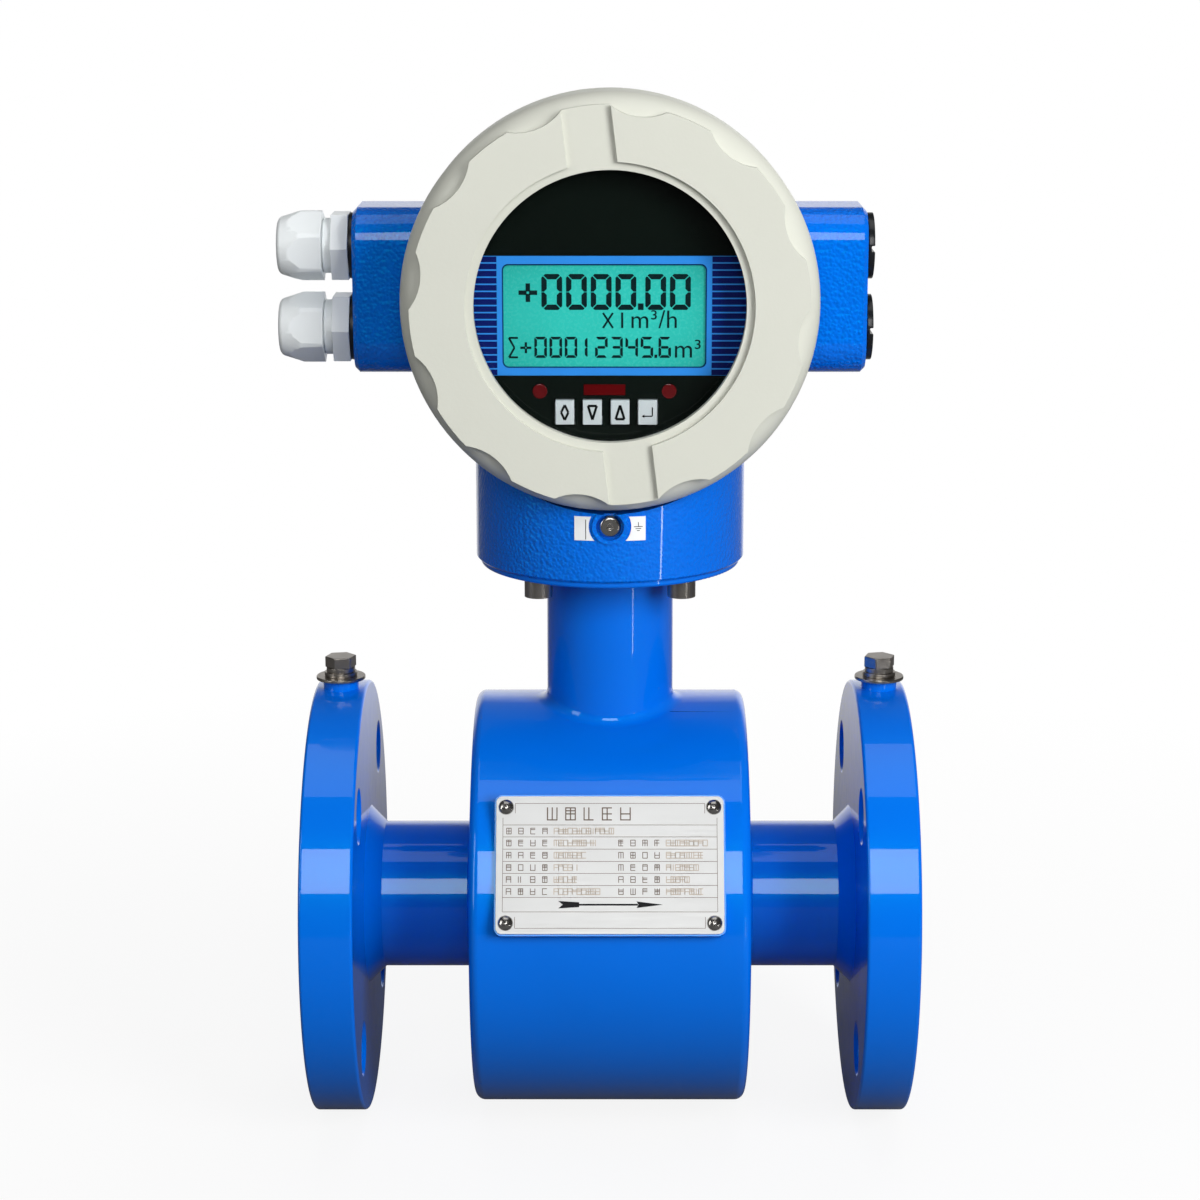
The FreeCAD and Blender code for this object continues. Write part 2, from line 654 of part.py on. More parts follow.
def slit_washer(outer_d, low, high, place):
    """A spring washer with its slit."""
    washer = ring(AXIS_Z, outer_d / 2, M6_THREAD / 2, low, high, place)
    x, y = place
    half = SPRING_WASHER_SLIT / 2
    slit = block((x, x + outer_d), (y - half, y + half), (low, high))
    return washer.cut(slit)


def make_neck_spring_washers():
    """A spring washer under each neck screw's head."""
    low = PLATE_BOTTOM_Z - NECK_WASHER_THICKNESS
    return [slit_washer(NECK_SCREW_HEAD_D, low, PLATE_BOTTOM_Z, place) for place in neck_screw_places()]


def earth_bolt_levels():
    """Bottoms of the wide washer, plain washer, spring washer and bolt head."""
    wide = FLANGE_OD / 2 + EARTH_BOSS_HEIGHT
    plain = wide + WIDE_WASHER_THICKNESS
    spring = plain + PLAIN_WASHER_THICKNESS
    head = spring + SPRING_WASHER_THICKNESS
    return wide, plain, spring, head


def earth_bolt_places():
    """Where the two earthing bolts stand, above the middle of each flange."""
    middle = (FLANGE_OUT_X + FLANGE_IN_X) / 2
    return [(-middle, 0.0), (middle, 0.0)]


def make_ground_bolts():
    """The hexagon-head earthing bolt of each flange."""
    wide, plain, spring, head = earth_bolt_levels()
    bolts = []
    for place in earth_bolt_places():
        cap = prism(AXIS_Z, M6_FLATS, head, head + M6_HEAD_HEIGHT, place, 12.0)
        shank = cylinder(AXIS_Z, M6_THREAD / 2, wide - EARTH_BOLT_DEPTH, head, place)
        bolts.append(fused([cap, shank]))
    return bolts


def make_ground_washers(outer_d, level, thickness):
    """One plain washer for each earthing bolt."""
    low = earth_bolt_levels()[level]
    places = earth_bolt_places()
    return [ring(AXIS_Z, outer_d / 2, M6_THREAD / 2, low, low + thickness, place) for place in places]


def make_ground_spring_washers():
    """One spring washer for each earthing bolt."""
    low = earth_bolt_levels()[2]
    high = low + SPRING_WASHER_THICKNESS
    return [slit_washer(SPRING_WASHER_D, low, high, place) for place in earth_bolt_places()]


# --- Nameplate, built lying flat over the top of the drum, then swung to its place ---
def swung_to_nameplate(shape):
    """Turn a shape from the top of the drum down to the nameplate's place."""
    copy = shape.copy()
    copy.rotate(Vector(0, 0, 0), AXIS_X, 90.0 - NAMEPLATE_TILT)
    return copy


def rounded_plate(width, height, corner, low, high):
    """A flat plate across Z with rounded corners."""
    plate = block((-width / 2, width / 2), (-height / 2, height / 2), (low, high))
    upright = [edge for edge in plate.Edges if edge.BoundBox.ZLength > (high - low) / 2]
    return plate.makeFillet(corner, upright)


def seat_top():
    """Height of the seat's flat face above the flow axis."""
    return DRUM_R + SEAT_SHEET


def rivet_places():
    """The nameplate's four rivets, as (across, up) pairs."""
    half_x = RIVET_SPACING_X / 2
    half_up = RIVET_SPACING_UP / 2
    return [(x, up) for x in (-half_x, half_x) for up in (-half_up, half_up)]


def make_nameplate_seat():
    """A shallow pressed tray, welded to the drum, that the flat plate lies on."""
    width = NAMEPLATE_WIDTH + 2 * SEAT_BORDER
    height = NAMEPLATE_HEIGHT + 2 * SEAT_BORDER
    corner = NAMEPLATE_CORNER + SEAT_BORDER
    top = seat_top()
    low = DRUM_R / 2
    tray = rounded_plate(width, height, corner, low, top)
    wall = 2 * SEAT_SHEET
    pocket = rounded_plate(width - wall, height - wall, corner / 2, low, top - SEAT_SHEET)
    tray = tray.cut(pocket)
    tray = tray.cut(cylinder(AXIS_X, DRUM_R, -width, width))
    for place in rivet_places():
        tray = tray.cut(cylinder(AXIS_Z, RIVET_SHANK_D / 2, top - 2 * SEAT_SHEET, top, place))
    return swung_to_nameplate(tray)


def make_nameplate():
    """The flat nameplate."""
    low = seat_top()
    high = low + NAMEPLATE_THICKNESS
    plate = rounded_plate(NAMEPLATE_WIDTH, NAMEPLATE_HEIGHT, NAMEPLATE_CORNER, low, high)
    for place in rivet_places():
        plate = plate.cut(cylinder(AXIS_Z, RIVET_SHANK_D / 2, low, high, place))
    return swung_to_nameplate(plate)


def make_rivets():
    """Round-headed rivets through the plate into its seat."""
    face = seat_top() + NAMEPLATE_THICKNESS
    radius = RIVET_HEAD_D / 2
    sphere_r = (radius ** 2 + RIVET_HEAD_HEIGHT ** 2) / (2 * RIVET_HEAD_HEIGHT)
    rivets = []
    for place in rivet_places():
        centre = Vector(place[0], place[1], face + RIVET_HEAD_HEIGHT - sphere_r)
        ball = Part.makeSphere(sphere_r, centre)
        head = ball.common(cylinder(AXIS_Z, radius, face, face + RIVET_HEAD_HEIGHT, place))
        shank = cylinder(AXIS_Z, RIVET_SHANK_D / 2, face - SEAT_SHEET, face, place)
        rivets.append(swung_to_nameplate(fused([head, shank])))
    return rivets


# --- Converter housing ---
def head_cylinder(radius, start, end):
    """A cylinder on the axis of the converter's chambers."""
    return cylinder(AXIS_Y, radius, start, end, (0, HEAD_Z))


def head_ring(outer, inner, start, end):
    """A ring on the axis of the converter's chambers."""
    return ring(AXIS_Y, outer, inner, start, end, (0, HEAD_Z))


def entry_levels():
    """Heights of the cable entries."""
    return [HEAD_Z + ENTRY_SPACING / 2, HEAD_Z - ENTRY_SPACING / 2]


def make_ears():
    """The cross block whose two ends carry the cable entries."""
    half_depth = EAR_DEPTH / 2
    half_height = EAR_HEIGHT / 2
    heights = (HEAD_Z - half_height, HEAD_Z + half_height)
    ears = block((-EAR_X, EAR_X), (-half_depth, half_depth), heights)
    long_edges = [edge for edge in ears.Edges if edge.BoundBox.XLength > EARS_LENGTH / 2]
    ears = ears.makeFillet(EAR_ROUND, long_edges)
    ends = [edge for edge in ears.Edges if abs(abs(edge.CenterOfMass.x) - EAR_X) < 1e-3]
    return ears.makeChamfer(EAR_END_ROUND, ends)


def both_ends():
    """The display end and the smaller terminal end: side along Y and step of the circles."""
    return [(-1, 0.0), (1, REAR_STEP)]


def make_cup():
    """The round foot under the chambers, its top cut clear of both covers."""
    cup = cylinder(AXIS_Z, CUP_R, HOUSING_BOTTOM_Z, HEAD_Z)
    cup = cup.makeChamfer(CUP_CHAMFER, circle_edges(cup, "z", HOUSING_BOTTOM_Z, CUP_R))
    for side, step in both_ends():
        reach = (COVER_OD - step) / 2 + CUP_COVER_GAP
        cup = cup.cut(head_cylinder(reach, side * SHOULDER_Y, side * CUP_OD))
    return cup


def earth_ring_floor():
    """The Y of the earthing screw's seat in the front of the cup."""
    return -(CUP_R + EARTH_RING_HEIGHT - EARTH_RING_DEPTH)


def make_earth_boss():
    """The boss for the earthing screw, from its raised ring to behind the thread."""
    front = -(CUP_R + EARTH_RING_HEIGHT)
    back = earth_ring_floor() + EARTH_SCREW_LENGTH + EARTH_BOSS_END_WALL
    boss = cylinder(AXIS_Y, EARTH_RING_OD / 2, front, back, (0, EARTH_SCREW_Z))
    return boss.cut(head_cylinder(COVER_OD / 2 + CUP_COVER_GAP, -CUP_OD, -SHOULDER_Y))


def make_cup_pocket():
    """The hollow of the cup, less the roof under the covers and the screw bosses."""
    pocket = cylinder(AXIS_Z, CUP_R - CUP_WALL, HOUSING_BOTTOM_Z, HEAD_Z)
    inside = SHOULDER_Y - CUP_ROOF
    for side, step in both_ends():
        drum = (SHOULDER_D - step) / 2
        pocket = pocket.cut(head_cylinder(drum, side * CUP_R, 0))
        roof = (COVER_OD - step) / 2 + CUP_COVER_GAP + CUP_ROOF
        pocket = pocket.cut(head_cylinder(roof, side * inside, side * CUP_OD))
    for place in neck_screw_places():
        pocket = pocket.cut(cylinder(AXIS_Z, SCREW_BOSS_D / 2, HOUSING_BOTTOM_Z, HEAD_Z, place))
    return pocket.cut(make_earth_boss())


def make_converter_housing():
    """The casting: two chambers back to back, ears for the cables and the cup."""
    pieces = [make_ears(), make_cup(), make_earth_boss()]
    for side, step in both_ends():
        pieces.append(head_cylinder((SHOULDER_D - step) / 2, 0, side * SHOULDER_Y))
        pieces.append(head_cylinder((SPIGOT_D - step) / 2, 0, side * SPIGOT_END_Y))
    casting = fused(pieces)
    chamber = REAR_CHAMBER_R
    casting = casting.cut(head_cylinder(CHAMBER_D / 2, -SPIGOT_END_Y, PARTITION_FRONT_Y))
    casting = casting.cut(head_cylinder(chamber, PARTITION_REAR_Y, SPIGOT_END_Y))
    casting = casting.cut(make_cup_pocket())
    gasket_seat = PLATE_OD / 2 - GASKET_INSET + SEAT_GAP
    casting = casting.cut(cylinder(AXIS_Z, gasket_seat, HOUSING_BOTTOM_Z, GASKET_TOP_Z))
    casting = casting.cut(cylinder(AXIS_Z, LEAD_PASSAGE_D / 2, HOUSING_BOTTOM_Z, HEAD_Z - chamber + SPIGOT_LENGTH))
    thread_start = EAR_X - ENTRY_THREAD_DEPTH
    for level in entry_levels():
        for side in (-1, 1):
            entry = (0, level)
            thread = cylinder(AXIS_X, ENTRY_THREAD_D / 2, side * thread_start, side * EAR_X, entry)
            bore = cylinder(AXIS_X, ENTRY_BORE_D / 2, side * chamber / 2, side * EAR_X, entry)
            casting = casting.cut(thread).cut(bore)
    for place in neck_screw_places():
        top = HOUSING_BOTTOM_Z + NECK_SCREW_GRIP
        casting = casting.cut(cylinder(AXIS_Z, M6_THREAD / 2, HOUSING_BOTTOM_Z, top, place))
    floor = earth_ring_floor()
    place = (0, EARTH_SCREW_Z)
    casting = casting.cut(cylinder(AXIS_Y, EARTH_RING_BORE / 2, -CUP_OD, floor, place))
    screw_end = floor + EARTH_SCREW_LENGTH
    casting = casting.cut(cylinder(AXIS_Y, EARTH_SCREW_THREAD / 2, floor, screw_end, place))
    return casting.removeSplitter()


def make_earth_screw():
    """The pan-head earthing screw in the front of the cup."""
    floor = earth_ring_floor()
    place = (0, EARTH_SCREW_Z)
    top = floor - EARTH_SCREW_HEAD_HEIGHT
    head = cylinder(AXIS_Y, EARTH_SCREW_HEAD_D / 2, top, floor, place)
    rim = circle_edges(head, "y", top, EARTH_SCREW_HEAD_D / 2)
    head = head.makeFillet(EARTH_SCREW_HEAD_HEIGHT / 2, rim)
    shank = cylinder(AXIS_Y, EARTH_SCREW_THREAD / 2, floor, floor + EARTH_SCREW_LENGTH, place)
    socket = prism(AXIS_Y, EARTH_SCREW_THREAD / 2, top, top + EARTH_SCREW_HEAD_HEIGHT / 2, place)
    return fused([head, shank]).cut(socket)


def make_earth_label():
    """A thin label bent round the cup, cut out round the earthing screw."""
    outer = CUP_R + LABEL_THICKNESS
    label = ring(AXIS_Z, outer, CUP_R, LABEL_BOTTOM_Z, LABEL_TOP_Z)
    half = LABEL_WIDTH / 2
    label = label.common(block((-half, half), (-CUP_OD, 0), (LABEL_BOTTOM_Z, LABEL_TOP_Z)))
    place = (0, EARTH_SCREW_Z)
    label = label.cut(cylinder(AXIS_Y, LABEL_HOLE_D / 2, -CUP_OD, 0, place))
    reach = COVER_OD / 2 + CUP_COVER_GAP
    label = label.cut(head_cylinder(reach, -CUP_OD, 0))
    return label


# --- Covers, built at the front ---
def polar(diameter, angle, y):
    """A point of the cover's face, its angle seen from the front."""
    turn = math.radians(angle)
    x = diameter / 2 * math.cos(turn)
    z = HEAD_Z + diameter / 2 * math.sin(turn)
    return Vector(x, y, z)


def lobed_wire(y, step):
    """The outline of the raised land: lobes on one circle, dips between them."""
    lobe_d = COVER_LOBE_D - step
    dip_d = COVER_DIP_D - step
    pitch = 360.0 / COVER_LOBES
    half_lobe = COVER_LOBE_ANGLE / 2
    edges = []
    for number in range(COVER_LOBES):
        middle = 90.0 + COVER_TURN + pitch * number
        start = polar(lobe_d, middle - half_lobe, y)
        top = polar(lobe_d, middle, y)
        end = polar(lobe_d, middle + half_lobe, y)
        dip = polar(dip_d, middle + pitch / 2, y)
        following = polar(lobe_d, middle + pitch - half_lobe, y)
        edges.append(Part.Arc(start, top, end).toShape())
        edges.append(Part.Arc(end, dip, following).toShape())
    return Part.Wire(edges)


def notch_block(start, end):
    """The bar across the land that both spanner notches share."""
    half = COVER_NOTCH_WIDTH / 2
    reach = COVER_OD
    bar = block((-half, half), (min(start, end), max(start, end)), (-reach, reach))
    bar.rotate(Vector(0, 0, 0), AXIS_Y, -COVER_TURN)
    return moved(bar, z=HEAD_Z)


def make_cover_shell(step):
    """The outside of a screw cover: skirt, round shoulder and lobed land."""
    outer = (COVER_OD - step) / 2
    shoulder = (COVER_SHOULDER_D - step) / 2
    start = -COVER_START_Y
    knee = -(COVER_FACE_Y - COVER_SHOULDER_LENGTH)
    face = -COVER_FACE_Y
    bend = math.cos(math.radians(45))
    mid_r = shoulder + (outer - shoulder) * bend
    mid_y = knee + (face - knee) * bend
    corners = [Vector(0, start, 0), Vector(outer, start, 0), Vector(outer, knee, 0)]
    edges = [Part.makeLine(corners[0], corners[1]), Part.makeLine(corners[1], corners[2])]
    end = Vector(shoulder, face, 0)
    edges.append(Part.Arc(corners[2], Vector(mid_r, mid_y, 0), end).toShape())
    centre = Vector(0, face, 0)
    edges.append(Part.makeLine(end, centre))
    edges.append(Part.makeLine(centre, corners[0]))
    dome = Part.Face(Part.Wire(edges)).revolve(Vector(0, 0, 0), AXIS_Y, 360)
    dome = moved(dome, z=HEAD_Z)
    thickness = LAND_FACE_Y - (COVER_FACE_Y - COVER_SHOULDER_LENGTH)
    lobes = Part.Face(lobed_wire(-LAND_FACE_Y, step)).extrude(AXIS_Y * thickness)
    lobes = lobes.cut(notch_block(-LAND_FACE_Y, -COVER_FACE_Y))
    lobes = lobes.cut(head_cylinder((COVER_LAND_BORE - step) / 2, -LAND_FACE_Y, -COVER_FACE_Y))
    return fused([dome, lobes])


def cut_cover_mouth(cover, step):
    """Open a cover's skirt for the spigot and its seal."""
    mouth = (SPIGOT_D - step) / 2 + RUN_GAP
    cover = cover.cut(head_cylinder(mouth, -COVER_THREAD_END_Y, -COVER_START_Y))
    groove = mouth + SEAL_SECTION + SEAL_ROOM
    depth = COVER_START_Y + SEAL_SECTION + SEAL_ROOM
    return cover.cut(head_cylinder(groove, -depth, -COVER_START_Y))


def make_cover_seal(step):
    """The round-section seal in the mouth of a cover."""
    section = SEAL_SECTION / 2
    radius = (SPIGOT_D - step) / 2 + RUN_GAP + section
    seal = Part.makeTorus(radius, section, Vector(0, 0, 0), AXIS_Y)
    return moved(seal, y=-(COVER_START_Y + section), z=HEAD_Z)


def make_front_cover():
    """The front cover with its round window opening."""
    cover = cut_cover_mouth(make_cover_shell(0.0), 0.0)
    cover = cover.cut(head_cylinder(WINDOW_D / 2, -LAND_FACE_Y, 0))
    glass_bore = WINDOW_GLASS_D / 2 + SEAT_GAP
    cover = cover.cut(head_cylinder(glass_bore, -(COVER_FACE_Y - COVER_LIP), 0))
    return cover.cut(head_cylinder(WINDOW_RING_D / 2, -GLASS_BACK_Y, 0))


def make_rear_cover():
    """The blind rear cover, a smaller one of the same form as the front one."""
    cover = cut_cover_mouth(make_cover_shell(REAR_STEP), REAR_STEP)
    bore = (WINDOW_RING_D - REAR_STEP) / 2
    cover = cover.cut(head_cylinder(bore, -(COVER_FACE_Y - REAR_WEB), 0))
    return mirrored(cover, AXIS_Y)


def make_window_parts():
    """The gasket, glass and retaining ring of the window."""
    lip = COVER_FACE_Y - COVER_LIP
    gasket = head_ring(WINDOW_GLASS_D / 2, WINDOW_D / 2, -lip, -GLASS_FRONT_Y)
    glass = head_cylinder(WINDOW_GLASS_D / 2, -GLASS_FRONT_Y, -GLASS_BACK_Y)
    holder = head_ring(WINDOW_RING_D / 2 - SEAT_GAP, WINDOW_RING_BORE / 2, -GLASS_BACK_Y, -RING_BACK_Y)
    return gasket, glass, holder


# --- Display and circuit boards ---
def head_block(x_range, y_range, z_range):
    """A box whose heights are measured from the axis of the chambers."""
    heights = (HEAD_Z + z_range[0], HEAD_Z + z_range[1])
    return block(x_range, y_range, heights)


def centred(middle, size):
    """The two ends of a length about its middle."""
    return (middle - size / 2, middle + size / 2)


def key_places():
    """Middle of each key in X, from left to right."""
    first = KEY_ROW_X - KEY_PITCH * (len(KEY_NAMES) - 1) / 2
    return [first + KEY_PITCH * number for number in range(len(KEY_NAMES))]


def post_places():
    """Where the posts that carry the boards and the panel stand."""
    places = []
    for angle in POST_ANGLES:
        turn = math.radians(angle)
        places.append((POST_CIRCLE / 2 * math.cos(turn), HEAD_Z + POST_CIRCLE / 2 * math.sin(turn)))
    return places


def led_places():
    """Middle of each status light in X."""
    return [DISPLAY_X - LED_SPACING / 2, DISPLAY_X + LED_SPACING / 2]


def make_panel():
    """The black front panel with its openings for screen, lights and keys."""
    panel = head_cylinder(PANEL_D / 2, PANEL_FRONT_Y, PANEL_BACK_Y)
    y_range = (PANEL_FRONT_Y, PANEL_BACK_Y)
    screen = head_block(centred(DISPLAY_X, LCD_WIDTH), y_range, centred(DISPLAY_Z, LCD_HEIGHT))
    panel = panel.cut(screen)
    bar = head_block(centred(DISPLAY_X, INDICATOR_WIDTH), y_range, centred(INDICATOR_Z, INDICATOR_HEIGHT))
    panel = panel.cut(bar)
    hole_r = LED_D / 2 + SEAT_GAP
    for x in led_places():
        panel = panel.cut(cylinder(AXIS_Y, hole_r, PANEL_FRONT_Y, PANEL_BACK_Y, (x, HEAD_Z + LED_Z)))
    for x in key_places():
        width = KEY_WIDTH + 2 * KEY_GAP
        height = KEY_HEIGHT + 2 * KEY_GAP
        panel = panel.cut(head_block(centred(x, width), y_range, centred(KEY_ROW_Z, height)))
    return panel


def make_bezel():
    """The printed frame that crosses the panel round the screen."""
    y_range = (PANEL_FRONT_Y - BEZEL_THICKNESS, PANEL_FRONT_Y)
    bezel = head_cylinder(PANEL_D / 2 - BEZEL_INSET, y_range[0], y_range[1])
    band = head_block((-PANEL_D, PANEL_D), y_range, centred(DISPLAY_Z, BEZEL_HEIGHT))
    bezel = bezel.common(band)
    screen = head_block(centred(DISPLAY_X, LCD_WIDTH), y_range, centred(DISPLAY_Z, LCD_HEIGHT))
    return bezel.cut(screen)


def make_lcd():
    """The display module on its board, its screen standing into the panel."""
    width = LCD_WIDTH + 2 * LCD_MODULE_BORDER
    height = LCD_HEIGHT + 2 * LCD_MODULE_BORDER
    y_range = (PANEL_BACK_Y, DISPLAY_BOARD_Y)
    frame = head_block(centred(DISPLAY_X, width), y_range, centred(DISPLAY_Z, height))
    front = PANEL_FRONT_Y + LCD_SUNK
    screen_width = LCD_WIDTH - 2 * SEAT_GAP
    screen_height = LCD_HEIGHT - 2 * SEAT_GAP
    screen = head_block(centred(DISPLAY_X, screen_width), (front, PANEL_BACK_Y), centred(DISPLAY_Z, screen_height))
    return fused([frame, screen])


def make_leds():
    """Two round status lights on the display board."""
    start = PANEL_FRONT_Y - LED_PROUD
    return [cylinder(AXIS_Y, LED_D / 2, start, DISPLAY_BOARD_Y, (x, HEAD_Z + LED_Z)) for x in led_places()]


def make_indicator():
    """The small tinted bar between the two lights."""
    width = INDICATOR_WIDTH - 2 * SEAT_GAP
    height = INDICATOR_HEIGHT - 2 * SEAT_GAP
    y_range = (PANEL_FRONT_Y, PANEL_BACK_Y)
    return head_block(centred(DISPLAY_X, width), y_range, centred(INDICATOR_Z, height))


def make_key(x):
    """A key cap with the lip that holds it behind the panel."""
    cap_end = PANEL_BACK_Y + KEY_GAP + KEY_LIP_THICKNESS
    cap_y = (PANEL_FRONT_Y - KEY_PROUD, cap_end)
    cap = head_block(centred(x, KEY_WIDTH), cap_y, centred(KEY_ROW_Z, KEY_HEIGHT))
    lip_width = KEY_WIDTH + 2 * KEY_LIP
    lip_height = KEY_HEIGHT + 2 * KEY_LIP
    lip_y = (PANEL_BACK_Y + KEY_GAP, cap_end)
    lip = head_block(centred(x, lip_width), lip_y, centred(KEY_ROW_Z, lip_height))
    stem = cylinder(AXIS_Y, KEY_STEM_D / 2, cap_end, cap_end + KEY_STEM_LENGTH, (x, HEAD_Z + KEY_ROW_Z))
    return fused([cap, lip, stem])


def make_round_board(y):
    """A round circuit board with a hole for each post screw."""
    board = head_cylinder(BOARD_D / 2, y, y + BOARD_THICKNESS)
    for place in post_places():
        board = board.cut(cylinder(AXIS_Y, POST_D / 4, y, y + BOARD_THICKNESS, place))
    return board


def make_display_board():
    """The display board with the four key switches soldered to it."""
    board = make_round_board(DISPLAY_BOARD_Y)
    stem_end = PANEL_BACK_Y + KEY_GAP + KEY_LIP_THICKNESS + KEY_STEM_LENGTH
    switch_top = stem_end + KEY_TRAVEL + KEY_GAP
    pieces = [board]
    for x in key_places():
        y_range = (switch_top, DISPLAY_BOARD_Y)
        pieces.append(head_block(centred(x, SWITCH_SIZE), y_range, centred(KEY_ROW_Z, SWITCH_SIZE)))
    return fused(pieces)


def make_posts():
    """The posts that carry the boards, the panel and the terminal board."""
    spans = [
        (MAIN_BOARD_Y + BOARD_THICKNESS, PARTITION_FRONT_Y),
        (DISPLAY_BOARD_Y + BOARD_THICKNESS, MAIN_BOARD_Y),
        (PANEL_BACK_Y, DISPLAY_BOARD_Y),
    ]
    posts = []
    for start, end in spans:
        for place in post_places():
            posts.append(cylinder(AXIS_Y, POST_D / 2, start, end, place))
    reach_x = TERMINAL_BOARD_WIDTH / 2 - TERMINAL_POST_INSET
    reach_z = TERMINAL_BOARD_HEIGHT / 2 - TERMINAL_POST_INSET
    end = PARTITION_REAR_Y + TERMINAL_POST_HEIGHT
    for x in (-reach_x, reach_x):
        for z in (-reach_z, reach_z):
            place = (x, HEAD_Z + TERMINAL_BOARD_Z + z)
            posts.append(cylinder(AXIS_Y, POST_D / 2, PARTITION_REAR_Y, end, place))
    return posts


def terminal_levels():
    """Places along Y of the terminal board's two faces and the block's top."""
    back = PARTITION_REAR_Y + TERMINAL_POST_HEIGHT
    front = back + BOARD_THICKNESS
    return back, front, front + TERMINAL_DEPTH


def make_terminal_board():
    """The board that carries the terminals in the rear chamber."""
    back, front, top = terminal_levels()
    heights = centred(TERMINAL_BOARD_Z, TERMINAL_BOARD_HEIGHT)
    return head_block(centred(0, TERMINAL_BOARD_WIDTH), (back, front), heights)


def terminal_places():
    """Middle of each terminal in X."""
    first = -TERMINAL_PITCH * (TERMINAL_COUNT - 1) / 2
    return [first + TERMINAL_PITCH * number for number in range(TERMINAL_COUNT)]


def make_terminal_block():
    """The insulating terminal strip with its wire and screw holes."""
    back, front, top = terminal_levels()
    width = TERMINAL_PITCH * TERMINAL_COUNT
    strip = head_block(centred(0, width), (front, top), centred(TERMINAL_BOARD_Z, TERMINAL_HEIGHT))
    wire_y = front + TERMINAL_DEPTH / 3
    low = HEAD_Z + TERMINAL_BOARD_Z - TERMINAL_HEIGHT / 2
    for x in terminal_places():
        wire = cylinder(AXIS_Z, TERMINAL_WIRE_D / 2, low, low + TERMINAL_HEIGHT / 3, (x, wire_y))
        place = (x, HEAD_Z + TERMINAL_BOARD_Z)
        screw = cylinder(AXIS_Y, TERMINAL_SCREW_D / 2, top - TERMINAL_DEPTH / 3, top, place)
        strip = strip.cut(wire).cut(screw)
    return strip


def make_terminal_screws():
    """One clamping screw in each terminal."""
    back, front, top = terminal_levels()
    screws = []
    for x in terminal_places():
        place = (x, HEAD_Z + TERMINAL_BOARD_Z)
        screw = cylinder(AXIS_Y, TERMINAL_SCREW_D / 2, top - TERMINAL_DEPTH / 3, top - TERMINAL_SCREW_SUNK, place)
        screws.append(screw)
    return screws


def make_lead_bundle():
    """The sheathed leads that run up the neck into the rear chamber."""
    start = YOKE_INNER_D / 2 + YOKE_THICKNESS + YOKE_SCREW_HEAD_HEIGHT + SEAT_GAP
    end = HEAD_Z - REAR_CHAMBER_R + LEAD_BUNDLE_D / 2
    return cylinder(AXIS_Z, LEAD_BUNDLE_D / 2, start, end)


def make_lead_plug():
    """The sealing plug that holds the leads in the neck plate."""
    top = PLATE_TOP_Z
    return ring(AXIS_Z, NECK_R - NECK_WALL, LEAD_BUNDLE_D / 2, PLATE_BOTTOM_Z - PLATE_THICKNESS, top)


# --- Cable glands on the -X ear, blanking plugs on the +X ear ---
def gland_levels():
    """Places along -X of the gland's hexagon, neck, nut and nut end."""
    hexagon = -(EAR_X + GLAND_WASHER_THICKNESS)
    neck = hexagon - GLAND_HEX_LENGTH
    nut = neck - GLAND_NECK_LENGTH
    return hexagon, neck, nut, nut - NUT_LENGTH


def make_gland_washer(level):
    """The black sealing washer under a gland's hexagon."""
    hexagon = gland_levels()[0]
    return ring(AXIS_X, GLAND_WASHER_D / 2, ENTRY_THREAD_D / 2, -EAR_X, hexagon, (0, level))


def make_gland_body(level):
    """A gland body: entry thread, hexagon, neck and the stem inside the nut."""
    hexagon, neck, nut, end = gland_levels()
    place = (0, level)
    thread_end = -EAR_X + GLAND_THREAD_LENGTH
    thread = cylinder(AXIS_X, ENTRY_THREAD_D / 2 - THREAD_PLAY, hexagon, thread_end, place)
    grip = prism(AXIS_X, GLAND_FLATS, hexagon, neck, place)
    collar = cylinder(AXIS_X, GLAND_NECK_D / 2, neck, nut + RUN_GAP, place)
    stem = cylinder(AXIS_X, GLAND_STEM_D / 2, nut + RUN_GAP, nut - GLAND_STEM_LENGTH, place)
    body = fused([thread, grip, collar, stem])
    return body.cut(cylinder(AXIS_X, GLAND_BORE / 2, thread_end, nut - GLAND_STEM_LENGTH, place))


def make_nut_outline():
    """The round form inside which the nut's hexagon stands: skirt, taper and nose."""
    hexagon, neck, nut, end = gland_levels()
    nose = NUT_NOSE_D / 2
    face = NUT_FACE_D / 2
    nose_x = end + NUT_NOSE_LENGTH
    bend = math.cos(math.radians(45))
    middle = Vector(nose_x - NUT_NOSE_LENGTH * bend, 0, face + (nose - face) * bend)
    corner = NUT_CORNER_D / 2
    points = [Vector(nose_x, 0, nose), Vector(end + NUT_TAPER_LENGTH, 0, corner)]
    points += [Vector(nut, 0, corner), Vector(nut, 0, 0), Vector(end, 0, 0), Vector(end, 0, face)]
    edges = [Part.makeLine(a, b) for a, b in zip(points, points[1:])]
    edges.append(Part.Arc(points[-1], middle, points[0]).toShape())
    return Part.Face(Part.Wire(edges)).revolve(Vector(0, 0, 0), AXIS_X, 360)


def make_gland_nut(level, turn):
    """The domed clamping nut, hollow for the stem and the seal."""
    hexagon, neck, nut, end = gland_levels()
    place = (0, level)
    body = prism(AXIS_X, NUT_FLATS, nut, end, place, turn)
    body = body.common(moved(make_nut_outline(), z=level))
    hollow = GLAND_STEM_D / 2 + RUN_GAP
    body = body.cut(cylinder(AXIS_X, hollow, nut, end + NUT_END_WALL, place))
    return body.cut(cylinder(AXIS_X, NUT_MOUTH_D / 2, nut, end, place))


def make_gland_insert(level):
    """The rubber ring that the nut presses round the cable."""
    hexagon, neck, nut, end = gland_levels()
    start = end + NUT_END_WALL + RUN_GAP
    return ring(AXIS_X, INSERT_OD / 2, INSERT_BORE / 2, start, start + INSERT_LENGTH, (0, level))


